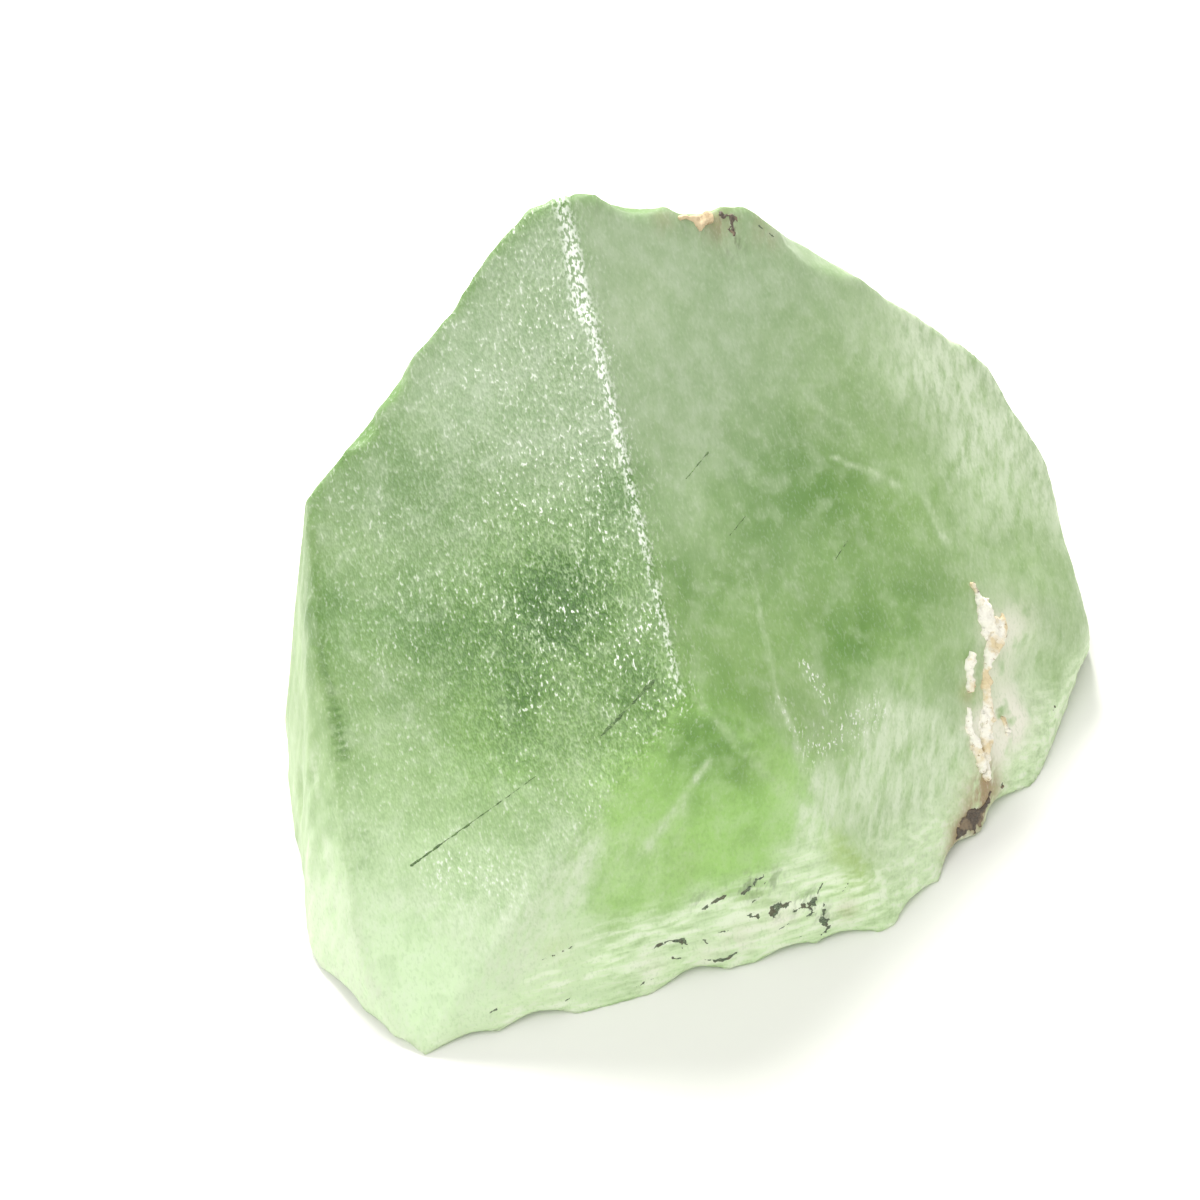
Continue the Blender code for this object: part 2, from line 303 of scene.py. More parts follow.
# %% [markdown]
# What the surface is like changes over the crystal: the left face is etched into tiny grains, the
# lower rim is a rough whitish break, and milky veils cross the clear green. Most of these places
# follow no rule, so they are marks placed one by one, soft balls and soft lines, as a painter would
# dab them on a cast of the crystal.

# %% Marks placed one by one
RIM_TOP_X = (-19.0, -13.0, -9.0, -6.4, -3.0, 1.6, 4.5, 9.0, 13.0, 19.0)
RIM_TOP_Z = (0.2, 0.4, 1.3, 3.0, 3.4, 3.9, 4.3, 2.6, 2.6, 2.0)
VEIL_STREAKS = (  # start, end, width at the start and at the end, amount
    ((0.26, -9.24, 9.03), (-2.25, -11.50, 6.20), 0.12, 0.45, 0.75),
    ((-0.30, -9.60, 8.70), (-1.10, -11.30, 6.00), 0.12, 0.25, 0.40),
    ((-4.10, -10.90, 8.60), (-5.10, -13.10, 5.00), 0.30, 0.45, 0.55),
    ((5.70, 3.88, 13.96), (8.78, 4.28, 11.91), 0.12, 0.20, 1.00),
    ((4.84, 5.61, 15.60), (6.60, 5.39, 14.16), 0.12, 0.14, 0.40),
    ((5.78, 7.31, 15.88), (7.20, 7.24, 14.78), 0.12, 0.12, 0.40),
    ((10.04, 4.42, 11.05), (11.03, 3.03, 9.52), 0.14, 0.24, 0.70),
    ((2.12, -2.40, 12.93), (3.03, -6.51, 9.82), 0.14, 0.20, 0.60),
    ((3.03, -6.51, 9.82), (4.31, -8.52, 7.47), 0.20, 0.30, 0.70),
    ((-0.40, -8.10, 11.60), (4.20, -9.70, 6.20), 0.14, 0.40, 0.45),
    ((4.80, -8.30, 7.20), (4.10, -10.20, 4.60), 0.30, 0.45, 0.80),
    ((5.70, -7.90, 6.90), (5.00, -10.00, 4.20), 0.25, 0.30, 0.60),
    ((-12.61, -12.74, 4.18), (-8.41, -13.97, 4.42), 0.50, 0.70, 0.35),
    ((-10.92, -13.91, 3.67), (-7.10, -14.90, 2.60), 0.50, 0.60, 0.40),
    ((-16.16, -11.31, 2.35), (-15.71, -13.35, 0.86), 0.70, 0.60, 0.80),
    ((-16.45, -7.00, 6.80), (-16.20, -8.30, 5.70), 0.16, 0.20, 1.20),
    ((-16.00, -7.20, 6.70), (-15.80, -8.60, 5.50), 0.14, 0.18, 1.50),
    ((-16.00, -9.60, 4.60), (-15.10, -12.60, 2.80), 0.25, 0.45, 0.70),
    ((-15.00, -14.30, 2.00), (-12.60, -16.30, 1.00), 0.14, 0.14, 0.80),
    ((-3.90, 3.20, 19.60), (-2.20, 6.80, 21.00), 0.60, 0.80, 0.25),
    ((-0.50, 8.80, 21.80), (0.80, 9.80, 21.40), 0.20, 0.20, 0.30),
    ((-0.10, 0.40, 16.40), (0.10, -5.80, 13.10), 0.60, 0.50, 0.20),
)
CLOUDS = (  # milky clouds: centre, radius, amount
    ((7.6, -5.0, 7.2), 1.3, 0.50),
    ((9.2, -4.4, 6.2), 1.9, 0.75),
    ((7.3, -6.7, 5.9), 1.8, 0.70),
    ((5.2, -8.7, 5.9), 1.5, 0.70),
    ((6.8, -8.2, 4.7), 1.3, 0.50),
    ((9.6, -6.4, 3.6), 2.4, 0.75),
    ((4.7, -10.1, 4.3), 1.2, 0.80),
    ((11.3, -4.6, 3.6), 1.9, 0.80),
    ((9.8, -8.3, 1.4), 1.6, 0.60),
    ((14.3, -0.5, 2.6), 2.2, 0.35),
    ((9.3, 9.6, 14.6), 3.4, 0.60),
    ((13.6, 8.0, 10.0), 3.2, 0.75),
    ((-0.8, 0.4, 16.9), 3.0, 0.08),
    ((-6.7, -12.6, 5.6), 2.2, 0.40),
    ((-11.2, -11.8, 5.0), 2.8, 0.35),
    ((-5.0, -9.8, 9.2), 1.3, 0.35),
    ((-3.0, 5.2, 21.0), 2.4, 0.25),
    ((-6.3, -15.2, 2.3), 2.2, 0.50),
    ((7.7, -9.0, 2.9), 1.5, 0.50),
    ((11.6, 12.0, 13.0), 2.8, 0.90),
    ((14.6, 11.6, 10.2), 2.2, 0.80),
    ((16.6, 8.6, 7.0), 1.8, 0.50),
    ((15.3, 0.9, 3.6), 2.0, 0.30),
    ((-2.2, -12.2, 4.8), 1.2, 0.30),
    ((-3.9, -11.9, 6.4), 1.3, 0.40),
    ((9.6, -5.2, 4.4), 1.3, 0.50),
)
CORES = (  # deeper green: centre, radius, amount
    ((-5.9, -4.5, 13.6), 1.6, 1.00),
    ((-6.6, -4.6, 13.2), 3.2, 0.60),
    ((-10.8, -5.0, 11.8), 2.4, 0.45),
    ((-7.4, -7.4, 10.6), 1.8, 0.35),
    ((5.6, 2.2, 13.2), 2.2, 0.40),
    ((-2.6, -7.4, 12.0), 1.4, 0.40),
    ((-4.3, -9.0, 10.2), 1.3, 0.15),
    ((-8.4, -8.4, 9.4), 2.2, 0.35),
    ((-12.4, -3.8, 12.2), 1.8, 0.35),
    ((3.4, 2.2, 14.7), 2.4, 0.45),
    ((-0.3, -4.2, 13.8), 1.8, 0.45),
    ((8.2, -0.9, 9.9), 2.4, 0.40),
    ((6.6, -3.3, 9.3), 1.9, 0.60),
    ((9.9, 0.2, 8.8), 1.6, 0.30),
    ((2.4, -1.0, 13.8), 2.0, 0.35),
    ((0.2, -8.8, 10.0), 1.9, 0.80),
    ((1.4, -9.7, 7.9), 1.3, 0.20),
    ((2.6, -10.2, 6.0), 1.2, 0.12),
    ((-16.5, -3.1, 11.0), 2.2, 0.80),
    ((-15.4, -6.6, 8.7), 0.8, 0.35),
    ((-14.4, -10.6, 5.0), 0.5, 0.40),
    ((-14.2, -12.0, 3.9), 0.5, 0.50),
    ((-14.5, -13.0, 3.2), 0.5, 0.45),
    ((-12.6, 0.4, 15.6), 3.0, 0.42),
    ((-3.6, -1.8, 16.6), 1.8, 0.36),
    ((-16.4, -9.0, 5.0), 1.5, 0.20),
)
VIVID = (  # brighter green off the window: centre, radius, amount
    ((-8.4, -8.4, 9.4), 2.4, 0.80),
    ((-4.4, -9.9, 9.3), 1.2, 0.50),
    ((-6.2, -4.8, 13.4), 2.8, 0.60),
    ((8.8, -1.8, 8.6), 2.0, 0.50),
)
GREY_PATCHES = (  # grey-green patches added to the painted greyer top: centre, radius, amount
    ((-13.6, -3.6, 12.2), 2.6, 0.20),
    ((-12.6, -7.4, 9.6), 2.0, 0.30),
    ((4.0, -1.0, 13.0), 3.0, 0.20),
)
MOSSY = (  # yellower green in the rim: centre, radius, amount
    ((5.9, -9.8, 4.2), 0.7, 0.60),
    ((7.0, -10.2, 2.5), 0.9, 0.80),
    ((6.4, -10.1, 3.4), 0.8, 0.65),
    ((-6.1, -14.3, 3.0), 0.7, 0.35),
    ((1.9, -11.9, 2.9), 0.8, 0.30),
    ((12.0, -1.7, 4.9), 0.5, 0.60),
)
CREAM = (  # pale cream rock grown into the rim: centre, radius, amount
    ((13.9, 1.6, 5.4), 1.6, 0.85),
    ((13.1, 0.8, 6.2), 0.8, 0.80),
    ((12.9, -0.8, 4.9), 0.7, 0.70),
    ((12.8, -2.4, 3.6), 0.9, 0.80),
    ((12.0, -1.2, 5.4), 0.5, 0.60),
    ((12.0, -3.1, 3.6), 0.6, 0.60),
    ((14.2, -2.1, 2.1), 1.0, 0.60),
    ((14.1, -0.9, 3.0), 1.6, 0.95),
    ((13.2, -3.0, 2.2), 1.2, 0.80),
    ((3.4, -11.8, 1.9), 0.9, 0.80),
    ((1.7, -12.6, 1.3), 0.8, 0.60),
    ((0.0, -13.3, 1.0), 0.8, 0.45),
    ((-2.2, -14.1, 0.9), 0.7, 0.40),
    ((5.3, -11.3, 1.3), 0.6, 0.55),
)
STAINS = (  # brown stains round the dark minerals: centre, radius, amount
    ((12.0, -6.0, 0.8), 1.1, 0.85),
    ((12.8, -4.6, 1.3), 1.2, 0.95),
    ((11.5, -7.1, 0.5), 0.9, 0.65),
    ((12.9, -3.8, 2.0), 0.6, 0.45),
    ((0.9, 10.5, 21.6), 0.9, 0.65),
    ((-1.6, 9.6, 22.3), 0.7, 0.40),
    ((2.9, 11.2, 20.3), 0.8, 0.35),
    ((6.4, -11.1, 1.2), 0.5, 0.35),
    ((11.95, -1.9, 4.8), 0.5, 0.45),
)
SMOKE = (  # fine dark dust in the crystal round the grains: centre, radius, amount
    ((1.8, -11.5, 3.5), 0.6, 0.60),
    ((-0.1, -12.2, 3.4), 0.5, 0.45),
    ((2.9, -11.2, 3.5), 0.6, 0.50),
    ((3.2, -11.7, 2.2), 0.5, 0.60),
    ((4.5, -11.3, 2.1), 0.7, 0.65),
    ((5.3, -11.3, 1.4), 0.5, 0.60),
    ((-4.6, 8.6, 24.6), 0.6, 0.45),
    ((-3.3, 9.2, 23.8), 0.7, 0.50),
    ((1.2, 10.8, 21.3), 0.9, 0.80),
    ((1.5, 10.1, 20.8), 0.7, 0.60),
    ((-2.2, 9.6, 22.9), 0.6, 0.40),
)
print("marks:", sum(map(len, (VEIL_STREAKS, CLOUDS, CORES, VIVID, GREY_PATCHES, MOSSY, CREAM, STAINS, SMOKE))))

# %% [markdown]
# Each soft ball or line adds a bell curve of the distance to it. A point's share in a face falls
# off over half a millimetre past the face's edge, so the finishes of two faces run into each
# other as they do on a worn crystal.


# %% Soft marks and face shares
def face_shares(values, softness=0.5):
    """How much each point belongs to each face: 1 where no other plane is higher, and the
    exponential of how far it lies under the highest plane elsewhere."""
    return dict(zip(FACES, np.exp((values - values.max(axis=0)) / softness)))


def blobs(points, table):
    """Sum of soft balls, at most 1: amount times the bell curve of distance over radius."""
    total = np.zeros(len(points))
    for centre, radius, amount in table:
        gap = np.linalg.norm(points - np.array(centre), axis=1)
        total += amount * bell(gap, radius)
    return np.minimum(total, 1)


def streaks(points, table):
    """Sum of soft lines that widen along their length."""
    total = np.zeros(len(points))
    for start, end, width, end_width, amount in table:
        along = np.array(end) - np.array(start)
        part = np.clip((points - np.array(start)) @ along / (along @ along), 0, 1)
        gap = np.linalg.norm(points - np.array(start) - part[:, None] * along, axis=1)
        total += amount * bell(gap, width + (end_width - width) * part)
    return total


print("deep green at its first mark:", blobs(np.array([CORES[0][0]]), CORES))

# %% [markdown]
# Etching leaves hillocks on the left face alone, densest along the ridge and in the middle. Many
# white flecks there are painted highlights, as are the lighter grain tops. The ridge itself is worn
# to a band that widens down to a small step and is narrow below it, and its brightness is a
# painted highlight.

# %% Etched grains, painted glints and the worn ridge
RIDGE_LOW_END = (-1.0, -8.1, 12.0)
BAND_REACH = (0.0, 1.5, 4.9, 5.2, 6.0, 12.0, 21.0)
BAND_WIDTH = (0.55, 0.50, 0.95, 0.95, 0.36, 0.30, 0.26)
SHINE_REACH = (0.0, 1.0, 9.0, 13.0, 21.0)
SHINE = (0.6, 1.0, 1.0, 0.8, 0.6)
BRIGHT_MIDDLE = (-6.5, -5.0, 13.2)
FROST_FROM_RIDGE, FROST_FROM_MIDDLE = 5.5, 7.0
FLASH_FROM_RIDGE, FLASH_FROM_MIDDLE = 1.8, 3.4
FROST_LEAST = 0.3
PATCH_SIZE = 1.6
# Lines of painted white glints, which also add frost.
GLINT_LINES = (  # start, end, width, amount of white flecks off the left face
    ((4.35, -4.78, 9.98), (5.34, -5.65, 8.74), 0.30, 0.8),
    ((4.75, -7.39, 7.86), (7.49, -4.98, 7.04), 0.70, 0.8),
    ((3.20, -6.50, 9.80), (4.40, -8.00, 8.10), 0.35, 0.4),
    ((-10.50, -12.00, 5.30), (-8.60, -12.60, 5.30), 1.20, 0.4),
)


def etched_masks(points, values, face):
    """Shares of etched grains, of painted white glints few and many, and of the worn ridge with its painted
    highlight.
    """
    ridge_gap = segment_distance(points, APEX, RIDGE_LOW_END)
    reach = (points - np.array(APEX)) @ RIDGE_ALONG
    width = np.interp(reach, BAND_REACH, BAND_WIDTH)
    left_side = step(values[FACE_ROW["left"]] - values[FACE_ROW["right"]], -0.22, 0.02)
    # The band along the worn ridge: the relief roughens it, and the finish paints it bright as a highlight.
    ridge = step(-ridge_gap, -width, -0.45 * width) * left_side
    ridge = ridge * np.interp(reach, SHINE_REACH, SHINE)
    middle_gap = np.linalg.norm(points - np.array(BRIGHT_MIDDLE), axis=1)
    patches = np.clip(0.6 + 0.9 * layered(points, PATCH_SIZE, 2, seed=5), 0.1, 1)
    bright = bell(ridge_gap, FROST_FROM_RIDGE) + 0.7 * bell(middle_gap, FROST_FROM_MIDDLE)
    frost = face["left"] * np.clip(FROST_LEAST + (1 - FROST_LEAST) * bright, 0, 1)
    frost = frost * step(points[:, 2], 1.5, 7.0)
    extra = sum(amount * bell(segment_distance(points, start, end), wide)
                for start, end, wide, amount in GLINT_LINES)
    # Painted highlights: many white glints near the ridge and in the middle of the left face.
    near_ridge = bell(ridge_gap, FLASH_FROM_RIDGE) * np.interp(reach, (3.0, 9.0), (0.2, 0.55))
    many_painted_glints = face["left"] * (near_ridge + 0.5 * bell(middle_gap, FLASH_FROM_MIDDLE)) * patches
    return {
        "frost": np.clip(frost + 0.6 * extra + ridge, 0, 1),
        "few_painted_glints": np.clip(frost * patches + extra, 0, 1),
        "many_painted_glints": np.clip(many_painted_glints + 0.8 * extra, 0, 1),
        "ridge": ridge,
    }


print("the worn band is", max(BAND_WIDTH), "mm wide at most and", min(BAND_WIDTH), "mm at its end")

# %% [markdown]
# Inside, the crystal is clearest behind the window facet and milky at the right. The rim's upper
# edge wanders, so noise bends it. A thin crack runs down the left edge and looks dark green. The
# broken back is a deeper green than the frosted front, partly because a break isn't etched and
# partly as painted shade against the strong lamp behind it. The top is painted greyer as shade and
# the lower front paler as glow.


# %% Milk, green and stains
WOBBLE_SIZE, SWIRL_SIZE = 2.4, 1.3
STREAK_BEND, CLOUD_BEND, CORE_BEND = 0.18, 0.8, 1.2
CREAM_BEND, STAIN_BEND, SMOKE_BEND = 0.6, 0.45, 0.3
FACE_VEIL = {
    "right_corner": 0.30, "right_end": 0.30, "corner_bevel": 0.55, "back_left": 0.12, "back": 0.12,
    "back_foot": 0.12, "back_right": 0.12, "back_right_top": 0.10}
SIDE_VEIL, SIDE_FOOT_VEIL = 0.03, 0.35
WINDOW_LEFT_VEIL = 0.55
BROKEN_FACES = ("back_left", "back", "back_foot", "back_right")


def body_masks(points, face, frost):
    """Shares of each kind of stuff in the crystal: rim, milk, deeper green and the rest, with the
    painted shade of the top, the painted glow low down and painted shade between grains.
    """
    x, y, z = points.T
    wobble = layered(points, WOBBLE_SIZE, 3, seed=11)
    swirl = np.stack([layered(points, SWIRL_SIZE, 3, seed=13 + axis) for axis in range(3)], axis=1)
    bent = points + CLOUD_BEND * swirl
    front = face["left"] + face["window"] + face["cloudy"] + face["right_corner"] + face["right_foot"]
    rim = step(np.interp(x, RIM_TOP_X, RIM_TOP_Z) + 1.1 * wobble - z, -0.9, 1.3) * np.clip(front, 0, 1)
    veil = streaks(points + STREAK_BEND * swirl, VEIL_STREAKS)
    veil = veil * (0.8 + 0.5 * noise(points, 0.4, seed=3))
    veil = veil + blobs(bent, CLOUDS) + sum(share * face[name] for name, share in FACE_VEIL.items())
    veil = veil + (face["side"] + face["side_front"]) * (SIDE_VEIL + SIDE_FOOT_VEIL * step(-z, -6.0, -1.0))
    veil = veil + face["window"] * step(-x, 4.2, 6.0) * WINDOW_LEFT_VEIL
    # Painted glow: the far right face is painted paler towards its end, where light comes through the thin
    # edge.
    veil = np.clip(veil + 0.18 * face["far_right"] * step(x, 6.0, 13.0) + 0.14 * wobble, 0, 1)
    core = blobs(points + CORE_BEND * swirl, CORES) * (1 - 0.7 * rim) * (1 - 0.5 * veil)
    core = np.maximum(core, bell(segment_distance(points, *CRACK), CRACK_SHADE))
    vivid = face["window"] * step(x + 0.5 * wobble, -6.4, -3.4) * (1 - rim) * (1 - 0.5 * veil)
    vivid = vivid + blobs(bent, VIVID)
    # Painted glow: these front faces are painted paler low down, for light through the thin base and off the
    # white floor.
    pale = face["left"] + 0.6 * face["side_front"] + face["corner_bevel"]
    pale = pale + face["window"] * step(-x, 3.0, 5.5)
    # Painted shade: the upper part is painted greyer, as it gets less light than the base, with grey patches
    # added.
    high = step(z, 10.5, 21.0) + 0.25 * wobble * step(z, 12.0, 16.0) + blobs(points, GREY_PATCHES)
    return {
        "rim": rim,
        "veil": veil,
        "core": core,
        "vivid": np.clip(vivid, 0, 1),
        "high": np.clip(high, 0, 1),
        "low": np.clip(pale, 0, 1) * step(-z, -10.0, -0.5),
        # Painted shade in the hollows between the etched grains, deeper over the deep green.
        "gaps": face["left"] * frost * np.clip(0.25 + 0.9 * core, 0, 1),
        "mossy": blobs(bent, MOSSY),
        "cream": blobs(points + CREAM_BEND * swirl, CREAM),
        "stain": blobs(points + STAIN_BEND * swirl, STAINS),
        "smoke": blobs(points + SMOKE_BEND * swirl, SMOKE),
        # Partly painted shade: the broken back faces are made a deeper green against the strong lamp behind
        # them.
        "back": np.clip(sum(face[name] for name in BROKEN_FACES), 0, 1),
    }


def surface_masks(points):
    """All the named masks at these points, each an array from 0 to 1."""
    values = plane_values(points)
    face = face_shares(values)
    masks = etched_masks(points, values, face)
    return masks | body_masks(points, face, masks["frost"])


print("masks:", *surface_masks(INSIDE[None]))

# %% [markdown]
# The relief is how deep each point lies under the ideal surface. Etching leaves fine hillocks on
# the left face, the rim is broken into small facets, the left side carries upright striations, the
# back is hackly, and the rest is slightly uneven. All kinds but the pits of the base add as much
# as they take, so the crystal keeps its size.

# %% Relief of the worn surface
RIM_ALONG = unit((19.5, 6.5, 0.0))
HACKLY_FACES = ("back", "back_left", "back_right", "back_foot", "right_end", "back_right_top")
UNEVEN_HEIGHT, UNEVEN_SIZE = 0.05, 4.5
HILLOCK_HEIGHT, HILLOCK_LEAST, HILLOCK_SIZE = 0.035, 0.012, 0.55
FIBRE_HEIGHT, FIBRE_SIZE, FIBRE_STRETCH = 0.05, 0.4, 5.0
FACET_HEIGHT, FACET_SIZE, FACET_STRETCH = 0.16, 1.3, 2.2
GRIT_HEIGHT, GRIT_SIZE = 0.05, 0.5
RIB_HEIGHT, RIB_SIZE, RIB_RISE = 0.045, 0.45, 0.08
HACKLE_HEIGHT, HACKLE_SIZE = 0.28, 3.4
ROUGH_HEIGHT, ROUGH_SIZE = 0.07, 0.8
WEAR_HEIGHT, WEAR_SIZE = 0.05, 0.4
PIT_DEPTH, PIT_SIZE = 0.5, 2.6


def along_stretched(points, direction, stretch):
    """The points with their part along a direction divided by the stretch, which draws noise out."""
    part = points @ direction
    return points - np.outer(part * (1 - 1 / stretch), direction)


def relief(points, masks):
    """Depth below the ideal surface in mm: the sum of each kind of relief times its mask."""
    face = face_shares(plane_values(points))
    uneven = UNEVEN_HEIGHT * layered(points, UNEVEN_SIZE, 2, seed=21)
    hillocks = HILLOCK_LEAST + HILLOCK_HEIGHT * masks["frost"]
    hillocks = hillocks * layered(points, HILLOCK_SIZE, 2, seed=22)
    fibres = noise(along_stretched(points, RIM_ALONG, FIBRE_STRETCH), FIBRE_SIZE, seed=33)
    broken = FACET_HEIGHT * cobbles(along_stretched(points, RIM_ALONG, FACET_STRETCH), FACET_SIZE, 31)
    broken = broken + FIBRE_HEIGHT * fibres + GRIT_HEIGHT * layered(points, GRIT_SIZE, 2, seed=32)
    ribs = RIB_HEIGHT * noise(points * (1.0, 1.0, RIB_RISE), RIB_SIZE, seed=41)
    hackle = HACKLE_HEIGHT * cobbles(points, HACKLE_SIZE, 51)
    hackle = hackle + ROUGH_HEIGHT * layered(points, ROUGH_SIZE, 2, seed=52)
    back = sum(face[name] for name in HACKLY_FACES)
    worn_ridge = WEAR_HEIGHT * masks["ridge"] * layered(points, WEAR_SIZE, 2, seed=61)
    depth = uneven + hillocks + broken * masks["rim"] + ribs * (face["side"] + face["side_front"])
    depth = depth + hackle * np.clip(back, 0, 1) + worn_ridge
    pits = PIT_DEPTH * np.clip(0.35 - 1.3 * cobbles(points, PIT_SIZE, 71), 0, 1)
    return depth * (1 - face["base"]) + pits * face["base"]


middle = np.array([BRIGHT_MIDDLE])
print("relief in the bright middle in mm:", np.round(relief(middle, surface_masks(middle)), 3))

# %% [markdown]
# A ray from inside the crystal is followed to the surface by halving: of a span whose near end is
# inside and whose far end is outside, keep the half that still has one end on each side.

# %% Rays to the surface
HALVINGS = 22
INWARD_SPAN = 5.0
OUTWARD_SPAN = 0.6


def crystal_surface(directions):
    """Points of the worn surface along rays from inside, and the masks there: halving of the span
    where the field plus the relief changes sign."""
    far = flat_hit(directions)
    first = INSIDE + directions * far[:, None]
    masks = surface_masks(first)
    depth = relief(first, masks)
    low, high = far - INWARD_SPAN, far + OUTWARD_SPAN
    for _ in range(HALVINGS):
        middle = (low + high) / 2
        outside = crystal_field(INSIDE + directions * middle[:, None]) + depth > 0
        high = np.where(outside, middle, high)
        low = np.where(outside, low, middle)
    points = INSIDE + directions * ((low + high) / 2)[:, None]
    points[:, 2] = np.maximum(points[:, 2], 0.0)
    return points, masks


top_point, _ = crystal_surface(np.array([(0.0, 0.0, 1.0)]))
print("a ray straight up leaves the crystal at:", np.round(top_point, 2))

# %% [markdown]
# The rays pass through a grid of points on a box round the crystal, six sides of two parameters
# each. The sides share their edge points, so the surface closes with no seam. Cells of a
# quarter of a millimetre land about a fifth of a millimetre apart on the crystal.

# %% The box of rays
GRID_CELL = 0.2575


def box_grid(low, high, cell):
    """Points on a box and its quads facing out. Each side is a grid of whole-number places, and
    equal places on two sides are one point."""
    counts = np.maximum(1, np.round((high - low) / cell)).astype(int)
    quads = []
    for axis in range(3):
        across, up = (axis + 1) % 3, (axis + 2) % 3
        u, v = np.meshgrid(np.arange(counts[across]), np.arange(counts[up]), indexing="ij")
        for level in (0, counts[axis]):
            corners = np.zeros((u.size, 4, 3), int)
            corners[..., axis] = level
            for place, (du, dv) in enumerate(((0, 0), (1, 0), (1, 1), (0, 1))):
                corners[:, place, across] = u.ravel() + du
                corners[:, place, up] = v.ravel() + dv
            quads.append(corners if level else corners[:, ::-1])
    corners = np.concatenate(quads).reshape(-1, 3)
    spots, index = np.unique(corners, axis=0, return_inverse=True)
    return low + spots / counts * (high - low), index.reshape(-1, 4)


def add_mesh(name, points, polygons, masks=None):
    """A mesh object from points in mm and rows of corner numbers, with each mask as an attribute."""
    data = bpy.data.meshes.new(name)
    data.from_pydata((points * MM).tolist(), [], polygons.tolist())
    for mask, values in (masks or {}).items():
        layer = data.attributes.new(mask, "FLOAT", "POINT")
        layer.data.foreach_set("value", np.asarray(values, np.float32))
    data.polygons.foreach_set("use_smooth", np.ones(len(data.polygons), bool))
    data.update()
    piece = bpy.data.objects.new(name, data)
    bpy.context.scene.collection.objects.link(piece)
    return piece


box_low = np.array(CAD_BOX[0]) / MM
box_high = np.array(CAD_BOX[1]) / MM
box_points, box_quads = box_grid(box_low, box_high, GRID_CELL)
crystal_points, crystal_masks = crystal_surface(unit(box_points - INSIDE))
crystal = add_mesh("peridot_surface", crystal_points, box_quads, crystal_masks)
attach(crystal, "root")
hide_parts("peridot_crystal")
print("crystal:", len(crystal_points), "points,", 2 * len(box_quads), "triangles")

# %% [markdown]
# Crusts and grains of other minerals sit on the crystal as thin ragged skins. Each is a strip of
# two parameters, along and across a given line, dropped onto the crystal's surface. Noise
# says where there is mineral and how thick it is, so the outline comes out torn, with holes. Where
# the thickness reaches 0 its top and underside share their points, which closes the piece.


# %% Skins of other minerals
SKIN_EDGE = 0.02
SKIN_SINK = 0.07
SKIN_REACH = 1.6
SKIN_END_REACH = 1.5
SKIN_RISE_POWER = 0.6


def line_points(path, count):
    """Points spread evenly along a broken line, by its length."""
    reach = np.concatenate([[0], np.cumsum(np.linalg.norm(np.diff(path[:, :3], axis=0), axis=1))])
    places = np.linspace(0, reach[-1], count)
    return np.stack([np.interp(places, reach, path[:, axis]) for axis in range(path.shape[1])], axis=1)


def field_normal(points):
    """Outward unit normal: the slope of the field, from small steps along each axis."""
    span = 0.05
    parts = [crystal_field(points + span * axis) - crystal_field(points - span * axis) for axis in np.eye(3)]
    return unit(np.stack(parts, axis=1))


def skin_strip(path, cell):
    """The strip along a path of x, y, z, half width: its points dropped onto the crystal, and each
    point's distance from the line over the half width there."""
    path = np.array(path, float)
    length = np.linalg.norm(np.diff(path[:, :3], axis=0), axis=1).sum()
    widest = path[:, 3].max()
    line = line_points(path, max(4, int(length / cell)))
    extra = np.arange(1, int(SKIN_END_REACH * widest / cell) + 2) * cell
    first, last = unit(line[0, :3] - line[1, :3]), unit(line[-1, :3] - line[-2, :3])
    before = np.hstack([line[0, :3] + first * extra[::-1, None], np.full((len(extra), 1), line[0, 3])])
    after = np.hstack([line[-1, :3] + last * extra[:, None], np.full((len(extra), 1), line[-1, 3])])
    strip = np.vstack([before, line, after])
    beyond = np.concatenate([extra[::-1], np.zeros(len(line)), extra])
    across = unit(np.cross(field_normal(strip[:, :3]), unit(np.gradient(strip[:, :3], axis=0))))
    offset = np.arange(-SKIN_REACH * widest, SKIN_REACH * widest + cell, cell)
    spots = strip[:, None, :3] + across[:, None] * offset[None, :, None]
    skin, _ = crystal_surface(unit(spots.reshape(-1, 3) - INSIDE))
    gap = np.hypot(np.abs(offset)[None, :], beyond[:, None]) / strip[:, 3][:, None]
    return skin, gap


